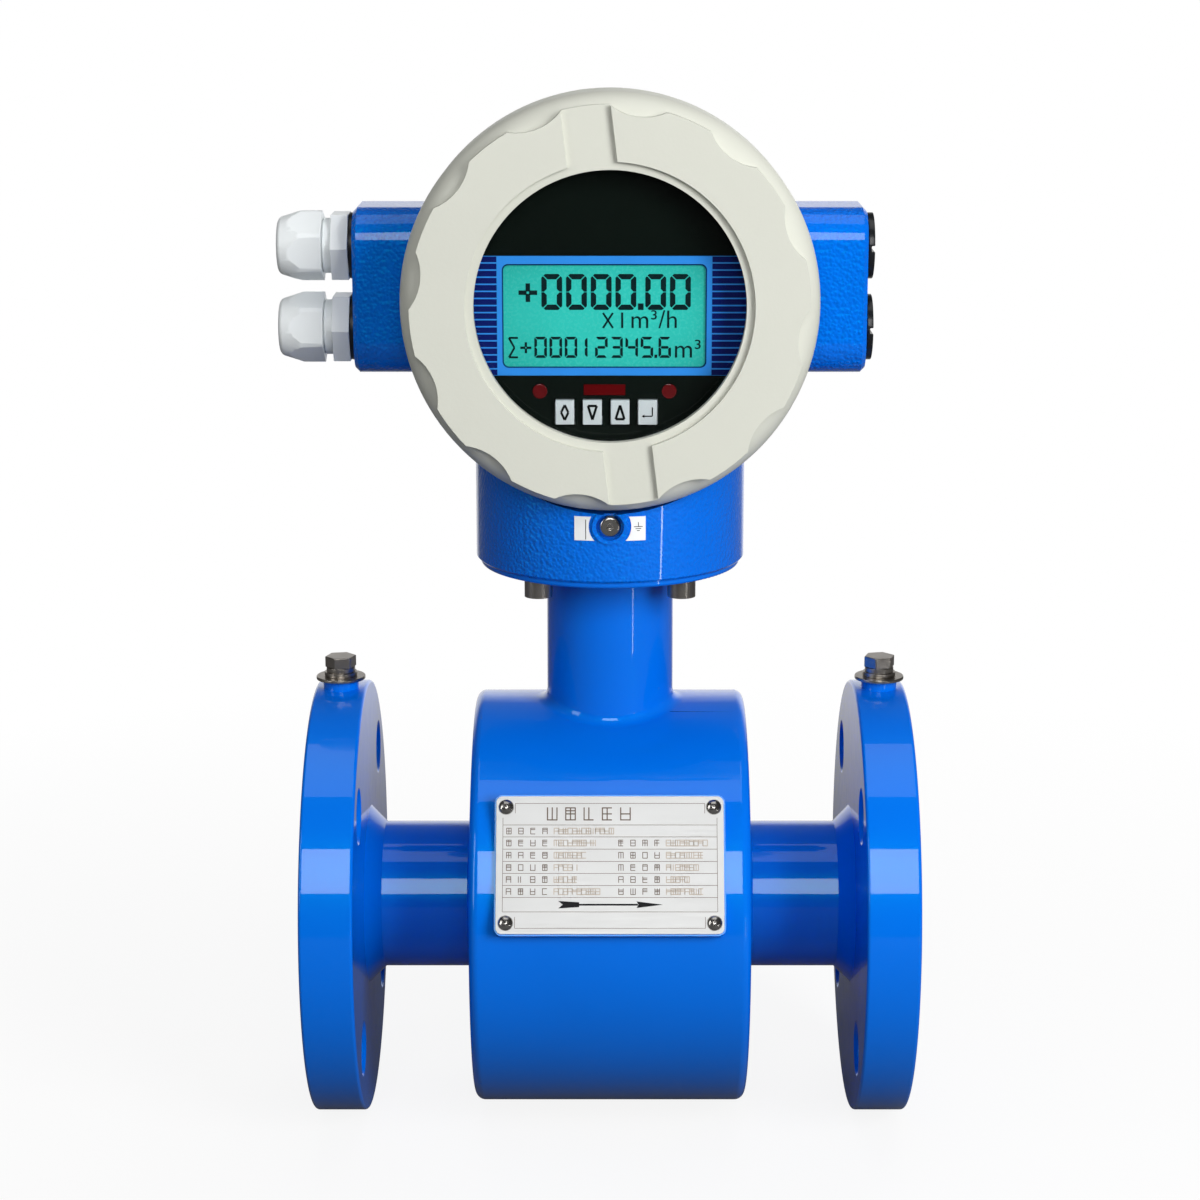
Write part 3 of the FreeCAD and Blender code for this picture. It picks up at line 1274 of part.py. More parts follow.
def make_plug(level):
    """A black blanking plug with a slot across its head."""
    place = (0, level)
    seat = EAR_X + PLUG_WASHER_THICKNESS
    face = seat + PLUG_HEAD_THICKNESS
    head = cylinder(AXIS_X, PLUG_HEAD_D / 2, seat, face, place)
    thread = cylinder(AXIS_X, ENTRY_THREAD_D / 2 - THREAD_PLAY, EAR_X - PLUG_THREAD_LENGTH, seat, place)
    slot_z = centred(level, PLUG_SLOT_WIDTH)
    slot = block((face - PLUG_SLOT_DEPTH, face), centred(0, PLUG_HEAD_D), slot_z)
    return fused([head, thread]).cut(slot)


def make_plug_washer(level):
    """The sealing washer under a blanking plug."""
    seat = EAR_X + PLUG_WASHER_THICKNESS
    return ring(AXIS_X, PLUG_HEAD_D / 2, ENTRY_THREAD_D / 2, EAR_X, seat, (0, level))


def sensor_nodes():
    """Every node of the flow sensor and its neck."""
    return {
        "measuring_tube": make_measuring_tube(),
        "inlet_flange": make_flange(-1),
        "outlet_flange": make_flange(1),
        "tube_liner": make_liner(),
        "electrodes": make_electrodes(),
        "electrode_insulators": make_electrode_insulators(),
        "electrode_nuts": make_electrode_nuts(),
        "pole_pieces": make_pole_pieces(),
        "coil_bobbins": make_bobbins(),
        "coil_windings": make_windings(),
        "magnetic_yoke": make_yoke(),
        "yoke_screws": make_yoke_screws(),
        "coil_housing": make_coil_housing(),
        "neck_tube": make_neck_tube(),
        "neck_plate": make_neck_plate(),
        "neck_gasket": make_neck_gasket(),
        "neck_screws": make_neck_screws(),
        "neck_spring_washers": make_neck_spring_washers(),
        "ground_bolts": make_ground_bolts(),
        "ground_wide_washers": make_ground_washers(WIDE_WASHER_D, 0, WIDE_WASHER_THICKNESS),
        "ground_plain_washers": make_ground_washers(PLAIN_WASHER_D, 1, PLAIN_WASHER_THICKNESS),
        "ground_spring_washers": make_ground_spring_washers(),
        "nameplate_seat": make_nameplate_seat(),
        "nameplate": make_nameplate(),
        "nameplate_rivets": make_rivets(),
        "lead_bundle": make_lead_bundle(),
        "lead_plug": make_lead_plug(),
    }


def converter_nodes():
    """Every node of the converter head, its glands and its plugs."""
    gasket, glass, holder = make_window_parts()
    upper, lower = entry_levels()
    nodes = {
        "converter_housing": make_converter_housing(),
        "earth_screw": make_earth_screw(),
        "earth_label": make_earth_label(),
        "front_cover": make_front_cover(),
        "front_cover_seal": make_cover_seal(0.0),
        "window_gasket": gasket,
        "window_glass": glass,
        "window_ring": holder,
        "rear_cover": make_rear_cover(),
        "rear_cover_seal": mirrored(make_cover_seal(REAR_STEP), AXIS_Y),
        "display_panel": make_panel(),
        "display_bezel": make_bezel(),
        "lcd_module": make_lcd(),
        "status_leds": make_leds(),
        "indicator_window": make_indicator(),
        "display_board": make_display_board(),
        "main_board": make_round_board(MAIN_BOARD_Y),
        "board_posts": make_posts(),
        "terminal_board": make_terminal_board(),
        "terminal_block": make_terminal_block(),
        "terminal_screws": make_terminal_screws(),
        "gland_washers": [make_gland_washer(level) for level in (upper, lower)],
        "gland_bodies": [make_gland_body(level) for level in (upper, lower)],
        "upper_gland_nut": make_gland_nut(upper, UPPER_NUT_TURN),
        "lower_gland_nut": make_gland_nut(lower, LOWER_NUT_TURN),
        "upper_gland_insert": make_gland_insert(upper),
        "lower_gland_insert": make_gland_insert(lower),
        "blanking_plugs": [make_plug(level) for level in (upper, lower)],
        "plug_washers": [make_plug_washer(level) for level in (upper, lower)],
    }
    for name, x in zip(KEY_NAMES, key_places()):
        nodes[name] = make_key(x)
    return nodes


def as_solids(made):
    """One shape of the separate solids of a node."""
    shapes = made if isinstance(made, list) else [made]
    solids = [solid for shape in shapes for solid in shape.Solids]
    return solids[0] if len(solids) == 1 else Part.makeCompound(solids)


def main():
    """Build every node and write its STEP file."""
    os.makedirs("parts", exist_ok=True)
    nodes = sensor_nodes()
    nodes.update(converter_nodes())
    for name, made in nodes.items():
        shape = as_solids(made)
        shape.exportStep("parts/" + name + ".step")
        print(name, len(shape.Solids), "solids", round(shape.Volume / 1000, 2), "cm3", shape.isValid())


main()
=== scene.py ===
"""Dress of an electromagnetic flow meter: finishes, fine pieces, camera and studio.

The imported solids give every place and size. Most are shown by softened copies of
themselves. Print, signs and segments are pieces of their own.
"""
from __future__ import annotations

import json
import logging
import math
from dataclasses import dataclass
from enum import Enum
from typing import Any, Callable, Iterable, Sequence

import bmesh
import bpy
from mathutils import Matrix, Vector

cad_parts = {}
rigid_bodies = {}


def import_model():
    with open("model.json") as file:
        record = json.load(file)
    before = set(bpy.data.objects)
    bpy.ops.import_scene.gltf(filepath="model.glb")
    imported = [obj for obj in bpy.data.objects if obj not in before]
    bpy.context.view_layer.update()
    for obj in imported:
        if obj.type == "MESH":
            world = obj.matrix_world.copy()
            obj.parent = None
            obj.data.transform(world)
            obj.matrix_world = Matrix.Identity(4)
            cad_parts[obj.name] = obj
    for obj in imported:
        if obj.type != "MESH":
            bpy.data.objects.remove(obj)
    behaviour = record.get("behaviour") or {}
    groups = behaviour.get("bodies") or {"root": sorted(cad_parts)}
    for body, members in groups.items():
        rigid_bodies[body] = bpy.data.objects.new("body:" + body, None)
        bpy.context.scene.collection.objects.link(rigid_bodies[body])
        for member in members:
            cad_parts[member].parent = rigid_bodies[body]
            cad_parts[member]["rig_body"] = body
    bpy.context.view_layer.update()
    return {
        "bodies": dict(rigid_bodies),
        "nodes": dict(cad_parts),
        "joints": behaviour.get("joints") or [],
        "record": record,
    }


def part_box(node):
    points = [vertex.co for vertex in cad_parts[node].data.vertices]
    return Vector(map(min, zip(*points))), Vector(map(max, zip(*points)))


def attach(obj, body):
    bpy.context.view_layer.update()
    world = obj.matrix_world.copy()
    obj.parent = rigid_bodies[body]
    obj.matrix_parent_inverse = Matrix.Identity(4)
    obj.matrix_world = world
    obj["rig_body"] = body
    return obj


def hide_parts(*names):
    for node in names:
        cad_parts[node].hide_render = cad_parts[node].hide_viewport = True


LOG = logging.getLogger("flow_meter")
MM = 0.001

Colour = tuple[float, float, float]
Place = tuple[float, float, float]
Point = tuple[float, float]


# --- Shader maths ---
@dataclass(frozen=True)
class Wire:
    """A number that runs through a material's nodes, with arithmetic.

    Args:
        tree: node tree that new Math nodes go into.
        socket: output socket that carries the number.
    """

    tree: bpy.types.NodeTree
    socket: bpy.types.NodeSocket

    def _join(self, operation: str, first: Any, second: Any) -> Wire:
        """Add a Math node.

        Args:
            operation: the Math node's operation.
            first: number or wire for its first socket.
            second: number or wire for its second socket.

        Returns:
            The wire that leaves the node.
        """
        node = self.tree.nodes.new("ShaderNodeMath")
        node.operation = operation
        for slot, value in zip(node.inputs, (first, second)):
            if isinstance(value, Wire):
                self.tree.links.new(value.socket, slot)
            else:
                slot.default_value = value
        return Wire(self.tree, node.outputs[0])

    def __add__(self, other: Any) -> Wire:
        """Sum."""
        return self._join("ADD", self, other)

    def __radd__(self, other: Any) -> Wire:
        """Sum with the wire on the right."""
        return self._join("ADD", other, self)

    def __sub__(self, other: Any) -> Wire:
        """Difference."""
        return self._join("SUBTRACT", self, other)

    def __rsub__(self, other: Any) -> Wire:
        """Difference with the wire on the right."""
        return self._join("SUBTRACT", other, self)

    def __mul__(self, other: Any) -> Wire:
        """Product."""
        return self._join("MULTIPLY", self, other)

    def __rmul__(self, other: Any) -> Wire:
        """Product with the wire on the right."""
        return self._join("MULTIPLY", other, self)

    def __truediv__(self, other: Any) -> Wire:
        """Quotient."""
        return self._join("DIVIDE", self, other)

    def at_least(self, other: Any) -> Wire:
        """The larger of the two values."""
        return self._join("MAXIMUM", self, other)

    def at_most(self, other: Any) -> Wire:
        """The smaller of the two values."""
        return self._join("MINIMUM", self, other)

    def clamped(self) -> Wire:
        """The value, held between 0 and 1."""
        return self.at_least(0.0).at_most(1.0)

    def sine(self) -> Wire:
        """Sine of the value."""
        return self._join("SINE", self, 0.0)


def find_socket(sockets: Iterable[bpy.types.NodeSocket], name: str | int) -> bpy.types.NodeSocket:
    """Find a node's socket.

    Args:
        sockets: the node's inputs or outputs.
        name: the socket's name among those in use, or its index.

    Returns:
        The socket.
    """
    listed = list(sockets)
    if isinstance(name, int):
        return listed[name]
    return next(s for s in listed if s.enabled and s.name == name)


def add_node(
    tree: bpy.types.NodeTree,
    kind: str,
    settings: dict[str, Any] | None = None,
    inputs: dict[str | int, Any] | None = None,
) -> bpy.types.Node:
    """Add a node of any kind to a material or a Geometry Nodes tree.

    Args:
        tree: the tree.
        kind: the node's type.
        settings: properties set before its sockets.
        inputs: values, wires or sockets for its inputs, by name or index.

    Returns:
        The node.
    """
    node = tree.nodes.new(kind)
    for key, value in (settings or {}).items():
        setattr(node, key, value)
    for key, value in (inputs or {}).items():
        slot = find_socket(node.inputs, key)
        if isinstance(value, Wire):
            tree.links.new(value.socket, slot)
        elif isinstance(value, bpy.types.NodeSocket):
            tree.links.new(value, slot)
        else:
            slot.default_value = value
    return node


class Shader:
    """A material on one Principled shader."""

    def __init__(self, name: str) -> None:
        """Start an empty material.

        Args:
            name: the material's name.
        """
        self.material = bpy.data.materials.new(name)
        self.material.use_nodes = True
        self.tree = self.material.node_tree
        self.tree.nodes.clear()
        self.surface = self.node("ShaderNodeBsdfPrincipled")
        output = self.node("ShaderNodeOutputMaterial")
        self.tree.links.new(self.surface.outputs[0], output.inputs["Surface"])
        self.place = self.node("ShaderNodeTexCoord").outputs["Object"]

    def node(
        self,
        kind: str,
        settings: dict[str, Any] | None = None,
        inputs: dict[str | int, Any] | None = None,
    ) -> bpy.types.Node:
        """Add a node to the material; see add_node."""
        return add_node(self.tree, kind, settings, inputs)

    def wire(self, socket: bpy.types.NodeSocket) -> Wire:
        """Wrap a socket for arithmetic."""
        return Wire(self.tree, socket)

    def constant(self, **values: Any) -> None:
        """Set the shader's own sockets; underscores stand for spaces."""
        for key, value in values.items():
            socket = self.surface.inputs[key.replace("_", " ")]
            socket.default_value = (*value, 1.0) if isinstance(value, tuple) else value

    def feed(self, name: str, source: Any) -> None:
        """Link a wire or a socket to one of the shader's sockets.

        Args:
            name: the shader's socket.
            source: wire or socket.
        """
        socket = source.socket if isinstance(source, Wire) else source
        self.tree.links.new(socket, self.surface.inputs[name])

    def noise(self, scale: float, detail: float = 2.0, stretch: Sequence[float] = (1, 1, 1)) -> Wire:
        """Noise over the object's own coordinates.

        Args:
            scale: features per metre.
            detail: octaves.
            stretch: factors along X, Y and Z.

        Returns:
            The noise, about 0.5.
        """
        place = self.place
        if tuple(stretch) != (1, 1, 1):
            place = self.node(
                "ShaderNodeMapping", {"vector_type": "POINT"}, {"Vector": place, "Scale": stretch}
            ).outputs[0]
        made = self.node(
            "ShaderNodeTexNoise", {}, {"Vector": place, "Scale": scale, "Detail": detail}
        )
        return self.wire(made.outputs[0])

    def cells(self, scale: float, settings: dict[str, Any] | None = None) -> Wire:
        """Distance within a pattern of cells.

        Args:
            scale: cells per metre.
            settings: the Voronoi node's settings.

        Returns:
            Distance from the middle of each cell.
        """
        made = self.node(
            "ShaderNodeTexVoronoi", settings or {}, {"Vector": self.place, "Scale": scale}
        )
        return self.wire(made.outputs[0])

    def axes(self) -> tuple[Wire, Wire, Wire]:
        """The object's own X, Y and Z in metres."""
        split = self.node("ShaderNodeSeparateXYZ", {}, {0: self.place})
        return tuple(self.wire(s) for s in split.outputs)

    def limited(self, value: Any, low: float, high: float) -> Wire:
        """Zero below low, one above high, and a straight slope between them."""
        made = self.node(
            "ShaderNodeMapRange", {"clamp": True}, {"Value": value, "From Min": low, "From Max": high}
        )
        return self.wire(made.outputs[0])

    def blend(self, factor: Any, first: Any, second: Any) -> bpy.types.NodeSocket:
        """Mix two colours.

        Args:
            factor: wire from 0 to 1.
            first: colour or socket at 0.
            second: colour or socket at 1.

        Returns:
            The mixed colour's socket.
        """
        pair = [(*c, 1.0) if isinstance(c, tuple) else c for c in (first, second)]
        made = self.node(
            "ShaderNodeMix", {"data_type": "RGBA"}, {"Factor": factor, "A": pair[0], "B": pair[1]}
        )
        return find_socket(made.outputs, "Result")

    def relief(self, height: Any, depth: float, strength: float = 1.0) -> None:
        """Raise the surface's shading normal by a height map.

        Args:
            height: wire from 0 to 1.
            depth: its full height in metres.
            strength: share of it that shows.
        """
        bump = self.node("ShaderNodeBump", {}, {"Strength": strength, "Distance": depth, "Height": height})
        self.feed("Normal", bump.outputs[0])


def scaled(colour: Colour, factor: float) -> Colour:
    """A colour made lighter or darker."""
    return tuple(min(1.0, part * factor) for part in colour)


# --- Finishes ---
DEEP_LACQUER = (0.0, 0.9, 0.85)  # tint of both blues' own gloss under their clear coat


@dataclass(frozen=True)
class Finish:
    """A surface finish.

    Args:
        name: name of its material.
        slot: the record's material slot that it is meant for; not used.
        colour: its main colour, linear.
    """

    name: str
    slot: str
    colour: Colour

    def paint(self, shader: Shader) -> None:
        """Build the finish's nodes; each kind of finish has its own."""
        raise NotImplementedError

    def tint(self, shader: Shader, factor: Any, low: float, high: float) -> bpy.types.NodeSocket:
        """Feed the finish's colour, lighter or darker by a wire.

        Args:
            shader: the material.
            factor: wire from 0 to 1.
            low: brightness where it is 0.
            high: brightness where it is 1.

        Returns:
            The colour's socket.
        """
        colour = shader.blend(factor, scaled(self.colour, low), scaled(self.colour, high))
        shader.feed("Base Color", colour)
        return colour

    def material(self) -> bpy.types.Material:
        """The finish's material, built the first time."""
        made = bpy.data.materials.get(self.name)
        if made is None:
            shader = Shader(self.name)
            self.paint(shader)
            made = shader.material
            made.diffuse_color = (*self.colour, 1.0)
        return made


@dataclass(frozen=True)
class GlossEnamel(Finish):
    """Thick gloss enamel over welded steel, with the slow waviness of a sprayed film."""

    depth: float = 0.00012

    def paint(self, shader: Shader) -> None:
        """Colour that deepens a little where the film is thick, under a clear coat."""
        cloud = shader.noise(14.0, 3.0)
        film = shader.noise(160.0, 2.0)
        self.tint(shader, cloud, 0.93, 1.06)
        shader.feed("Roughness", 0.26 + film * 0.1)
        shader.constant(Specular_IOR_Level=0.5, Specular_Tint=DEEP_LACQUER)
        shader.constant(Coat_Weight=0.85, Coat_Roughness=0.025)
        shader.relief(cloud * 0.6 + film * 0.4, self.depth, 0.5)


@dataclass(frozen=True)
class OrangePeel(Finish):
    """Sprayed paint on a casting: small round beads in the film catch the light."""

    beads: float = 850.0
    depth: float = 0.0014

    def paint(self, shader: Shader) -> None:
        """Beads of two sizes over a slow unevenness of the casting."""
        beads = 1 - shader.cells(self.beads, {"feature": "SMOOTH_F1"})
        grain = shader.noise(self.beads * 1.7, 1.0)
        cloud = shader.noise(20.0, 2.0)
        self.tint(shader, cloud, 0.93, 1.07)
        shader.feed("Roughness", 0.26 + grain * 0.12)
        shader.constant(Specular_IOR_Level=0.5, Specular_Tint=DEEP_LACQUER)
        shader.constant(Coat_Weight=0.8, Coat_Roughness=0.03)
        shader.relief(beads * 0.85 + grain * 0.15, self.depth, 0.42)


@dataclass(frozen=True)
class SatinPaint(Finish):
    """Satin stoving paint on the covers' die castings."""

    def paint(self, shader: Shader) -> None:
        """A fine even tooth, and the faint cloudiness of a sprayed pale colour."""
        tooth = shader.noise(900.0, 2.0)
        cloud = shader.noise(18.0, 3.0)
        self.tint(shader, cloud, 0.97, 1.02)
        shader.feed("Roughness", 0.4 + tooth * 0.12)
        shader.constant(Specular_IOR_Level=0.4)
        shader.relief(tooth * 0.6 + shader.noise(120.0, 2.0) * 0.4, 0.00012, 0.4)


@dataclass(frozen=True)
class Moulding(Finish):
    """Moulded plastic or rubber with a fine spark-eroded skin."""

    roughness: float = 0.4
    tooth: float = 1400.0
    coat: float = 0.0

    def paint(self, shader: Shader) -> None:
        """A fine tooth, a slow flow mark and a slight change of tone."""
        skin = shader.noise(self.tooth, 2.0)
        flow = shader.noise(45.0, 2.0)
        self.tint(shader, flow, 0.96, 1.04)
        shader.feed("Roughness", self.roughness - 0.05 + skin * 0.1)
        shader.constant(Coat_Weight=self.coat, Coat_Roughness=0.08)
        shader.relief(skin * 0.5 + flow * 0.5, 0.0001, 0.35)


class Turning(Enum):
    """Axis that a metal piece was turned about."""

    X = 0
    Y = 1
    Z = 2


@dataclass(frozen=True)
class TurnedMetal(Finish):
    """Bare metal from a lathe or a press, with fine tool marks."""

    turning: Turning = Turning.Z
    roughness: float = 0.28
    marks: float = 2600.0

    def paint(self, shader: Shader) -> None:
        """Marks run round the axis, so they change only along it."""
        stretch = [0.12, 0.12, 0.12]
        stretch[self.turning.value] = 1.0
        marks = shader.noise(self.marks, 2.0, stretch)
        tarnish = shader.noise(160.0, 3.0)
        self.tint(shader, tarnish, 0.84, 1.1)
        shader.feed("Roughness", self.roughness - 0.08 + marks * 0.1 + tarnish * 0.1)
        shader.constant(Metallic=1.0)
        shader.relief(marks, 0.00006, 0.4)


@dataclass(frozen=True)
class BrushedPlate(Finish):
    """Fine satin sheet, brushed along X and anodised."""

    def paint(self, shader: Shader) -> None:
        """Long fine strokes along X, and a slow sheen across the sheet."""
        strokes = shader.noise(2400.0, 2.0, (0.02, 1.0, 1.0))
        sheen = shader.noise(30.0, 2.0, (1.0, 0.3, 0.3))
        self.tint(shader, sheen, 0.93, 1.05)
        shader.feed("Roughness", 0.36 + strokes * 0.16)
        shader.constant(Metallic=0.35)
        shader.relief(strokes, 0.00003, 0.3)


@dataclass(frozen=True)
class Print(Finish):
    """Ink or etching: a thin film, thicker in places."""

    roughness: float = 0.5

    def paint(self, shader: Shader) -> None:
        """Tone that changes with the thickness of the film."""
        film = shader.noise(2200.0, 2.0)
        self.tint(shader, film, 0.8, 1.15)
        shader.feed("Roughness", self.roughness - 0.06 + film * 0.12)
        shader.constant(Specular_IOR_Level=0.12)


@dataclass(frozen=True)
class GlossFilm(Finish):
    """Smooth printed film behind glass; glow makes it give off light, a painted glow for a film that is no
    lamp.
    """

    glow: float = 0.0

    def paint(self, shader: Shader) -> None:
        """A deep even tone with a hardly seen ripple."""
        ripple = shader.noise(60.0, 2.0)
        fleck = shader.noise(3000.0, 1.0)
        colour = self.tint(shader, ripple, 0.9, 1.1)
        shader.feed("Roughness", 0.2 + fleck * 0.1)
        shader.constant(Specular_IOR_Level=0.12, Emission_Strength=self.glow)
        # Painted glow: the film gives off its own colour as light, though it is no lamp.
        if self.glow:
            shader.feed("Emission Color", colour)
        shader.relief(ripple, 0.00005, 0.3)


@dataclass(frozen=True)
class LitScreen(Finish):
    """Backlit liquid crystal: brighter in the middle, over a fine grid of cells.

    Args:
        middle: the screen's centre in X and Z, metres.
        half: half its width and height, metres.
        glow: strength of the backlight.
        cells: radians of the grid for each metre.
    """

    middle: Point = (0.0, 0.0)
    half: Point = (0.035, 0.018)
    glow: float = 0.35
    cells: float = 9000.0

    def paint(self, shader: Shader) -> None:
        """The backlight falls off towards the corners."""
        x, _, z = shader.axes()
        across = (x - self.middle[0]) / self.half[0]
        up = (z - self.middle[1]) / self.half[1]
        edge = shader.limited(across * across * 0.5 + up * up * 0.5, 0.1, 1.0)
        grid = ((x * self.cells).sine() * (z * self.cells).sine()) * 0.5 + 0.5
        lit = shader.blend(edge, scaled(self.colour, 1.12), scaled(self.colour, 0.8))
        colour = shader.blend(grid * 0.08, lit, scaled(self.colour, 0.6))
        shader.feed("Base Color", colour)
        shader.feed("Emission Color", colour)
        shader.feed("Roughness", 0.22 + shader.noise(900.0) * 0.1)
        shader.constant(Emission_Strength=self.glow, Specular_IOR_Level=0.3)


@dataclass(frozen=True)
class ClearGlass(Finish):
    """Clear flat glass: it mirrors more the flatter it is looked at, and else lets light by."""

    def paint(self, shader: Shader) -> None:
        """A mirror as strong as the glass's own reflection, and clear otherwise."""
        mirror = shader.wire(shader.node("ShaderNodeFresnel", {}, {"IOR": 1.24}).outputs[0])
        haze = shader.noise(26.0, 3.0)
        shader.constant(Base_Color=self.colour, Metallic=1.0)
        shader.feed("Roughness", 0.02 + haze * 0.03)
        shader.feed("Alpha", mirror * 0.9 + haze * 0.004)
        shader.material.surface_render_method = "BLENDED"


@dataclass(frozen=True)
class ClearRed(Finish):
    """Red moulding that lets some light through, with a darker depth."""

    def paint(self, shader: Shader) -> None:
        """A deep red under a gloss skin."""
        depth = shader.noise(420.0, 2.0)
        self.tint(shader, depth, 0.55, 1.3)
        shader.feed("Roughness", 0.12 + depth * 0.1)
        shader.constant(Coat_Weight=1.0, Coat_Roughness=0.02)
        shader.relief(depth, 0.0001, 0.3)


@dataclass(frozen=True)
class CircuitBoard(Finish):
    """Solder mask over tracks."""

    def paint(self, shader: Shader) -> None:
        """Lighter green where copper lies under the mask."""
        tracks = shader.cells(260.0, {"feature": "F1", "distance": "MANHATTAN"})
        lane = shader.limited((tracks * 40.0).sine(), 0.1, 0.4)
        self.tint(shader, lane, 0.7, 1.7)
        shader.feed("Roughness", 0.3 + lane * 0.1)
        shader.relief(lane, 0.00004, 0.5)


@dataclass(frozen=True)
class WoundWire(Finish):
    """Turns of enamelled wire, side by side."""

    pitch: float = 0.0006

    def paint(self, shader: Shader) -> None:
        """Round turns along the coil's axis, painted lighter on their crowns and darker between them:
        painted light and shade over the bump.
        """
        _, _, z = shader.axes()
        crown_and_painted_shade = (z * (2 * math.pi / self.pitch)).sine() * 0.5 + 0.5
        # Painted light and shade: the turns' crowns are lighter and the grooves between them darker.
        self.tint(shader, crown_and_painted_shade, 0.4, 1.1)
        shader.feed("Roughness", 0.3 + shader.noise(300.0) * 0.15)
        shader.constant(Metallic=0.85)
        shader.relief(crown_and_painted_shade, 0.0002, 0.8)


# --- The finishes of this meter ---
BLUE_ENAMEL = GlossEnamel("blue_enamel", "blue_gloss_paint", (0.0, 0.142, 0.72))
BLUE_CASTING = OrangePeel("blue_peel_paint", "blue_casting_paint", (0.0, 0.14, 0.73))
COVER_PAINT = SatinPaint("warm_grey_paint", "grey_casting_paint", (0.62, 0.628, 0.558))
STEEL_UPRIGHT = TurnedMetal("steel_turned_z", "stainless", (0.56, 0.52, 0.47), Turning.Z, 0.3)
STEEL_FRONT = TurnedMetal("steel_turned_y", "stainless", (0.62, 0.6, 0.57), Turning.Y, 0.2)
PLATE_METAL = BrushedPlate("brushed_plate", "plate_metal", (0.61, 0.615, 0.61))
LINER = Moulding("liner_rubber_skin", "liner_rubber", (0.012, 0.012, 0.013), 0.45, 700.0)
SEAL = Moulding("seal_rubber_skin", "seal_rubber", (0.008, 0.008, 0.009), 0.35, 1200.0)
LIGHT_NYLON = Moulding("light_nylon", "light_plastic", (0.90, 0.94, 0.95), 0.36, 1500.0, 0.1)
BLACK_NYLON = Moulding("black_nylon", "black_plastic", (0.008, 0.009, 0.01), 0.3, 1300.0, 0.2)
GLASS = ClearGlass("clear_glass", "window_glass", (0.94, 0.97, 0.97))
PANEL_FILM = GlossFilm("black_film", "panel_black", (0.003, 0.006, 0.0045))
# Painted glow: the blue film gives off light of its own, though it is no lamp.
BEZEL_FILM = GlossFilm("blue_film", "bezel_blue", (0.03, 0.25, 0.74), 0.1)
STRIPE_FILM = GlossFilm("navy_film", "bezel_blue", (0.004, 0.012, 0.13))
BORDER_FILM = GlossFilm("border_film", "bezel_blue", (0.005, 0.035, 0.12))
SEGMENT_INK = Print("segment_dark", "screen_teal", (0.002, 0.016, 0.018), 0.4)
LAMP = ClearRed("lamp_moulding", "lamp_red", (0.12, 0.0015, 0.003))
RED_WINDOW = GlossFilm("red_window", "bar_red", (0.10, 0.001, 0.002))
KEY_PLASTIC = Moulding("key_plastic", "key_grey", (0.62, 0.68, 0.70), 0.38, 1600.0)
KEY_INK = Print("key_ink", "key_grey", (0.003, 0.004, 0.004), 0.45)
BOARD = CircuitBoard("board_mask", "board_green", (0.01, 0.09, 0.025))
CHIP = Moulding("chip_epoxy", "black_plastic", (0.012, 0.012, 0.013), 0.45, 2400.0)
BRASS = TurnedMetal("turned_brass", "post_brass", (0.62, 0.42, 0.14), Turning.Y, 0.28)
SOFT_IRON = TurnedMetal("soft_iron_skin", "soft_iron", (0.2, 0.2, 0.21), Turning.X, 0.42)
WIRE = WoundWire("winding_wire", "copper_wire", (0.6, 0.2, 0.06))
BOBBIN = Moulding("bobbin_moulding", "bobbin_plastic", (0.52, 0.49, 0.38), 0.45)
INSULATOR = Moulding("insulator_moulding", "insulator_plastic", (0.82, 0.82, 0.78), 0.35)
TERMINAL = Moulding("terminal_moulding", "terminal_plastic", (0.012, 0.13, 0.035), 0.4)
SHEATH = Moulding("cable_sheath_skin", "cable_sheath", (0.02, 0.02, 0.022), 0.5)
LABEL = Moulding("label_film", "label_white", (0.86, 0.87, 0.87), 0.35, 2000.0)
ETCHING = Print("etched_line", "plate_metal", (0.15, 0.11, 0.085), 0.5)
FAINT_ETCHING = Print("faint_etching", "plate_metal", (0.50, 0.43, 0.36), 0.5)
BLACK_INK = Print("black_ink", "plate_metal", (0.004, 0.005, 0.006), 0.4)


# --- Flat drawing: lists of closed outlines, in millimetres ---
Outline = list[Point]


def bar(left: float, bottom: float, right: float, top: float) -> Outline:
    """A rectangle's outline, anticlockwise."""
    return [(left, bottom), (right, bottom), (right, top), (left, top)]


def stroke(start: Point, end: Point, width: float) -> Outline:
    """A straight stroke of a pen.

    Args:
        start: one end.
        end: other end.
        width: width of the pen.

    Returns:
        Its outline.
    """
    along = Vector(end) - Vector(start)
    side = Vector((-along.y, along.x)).normalized() * width / 2
    first, last = Vector(start), Vector(end)
    return [tuple(p) for p in (first - side, last - side, last + side, first + side)]


def polyline(points: Sequence[Point], width: float, closed: bool = False) -> list[Outline]:
    """Strokes through points.

    Args:
        points: the corners.
        width: width of the pen.
        closed: whether the last corner joins the first.

    Returns:
        One outline for each stroke.
    """
    ends = list(points[1:]) + ([points[0]] if closed else [])
    return [stroke(a, b, width) for a, b in zip(points, ends)]


def rounded(left: float, bottom: float, right: float, top: float, radius: float) -> Outline:
    """A rectangle's outline with round corners, anticlockwise."""
    outline = []
    corners = ((right, bottom, -90), (right, top, 0), (left, top, 90), (left, bottom, 180))
    for x, y, first in corners:
        centre_x = x - radius if x == right else x + radius
        centre_y = y - radius if y == top else y + radius
        for step in range(7):
            turn = math.radians(first + 15 * step)
            outline.append((centre_x + radius * math.cos(turn), centre_y + radius * math.sin(turn)))
    return outline


def shifted(outlines: Iterable[Outline], x: float = 0.0, y: float = 0.0) -> list[Outline]:
    """Outlines moved across the sheet."""
    return [[(px + x, py + y) for px, py in outline] for outline in outlines]


class Segment(Enum):
    """Bars of a seven-bar digit."""

    TOP = "a"
    UPPER_RIGHT = "b"
    LOWER_RIGHT = "c"
    BOTTOM = "d"
    LOWER_LEFT = "e"
    UPPER_LEFT = "f"
    MIDDLE = "g"


DIGITS = {
    "0": "abcdef",
    "1": "bc",
    "2": "abged",
    "3": "abgcd",
    "4": "fgbc",
    "5": "afgcd",
    "6": "afgcde",
}


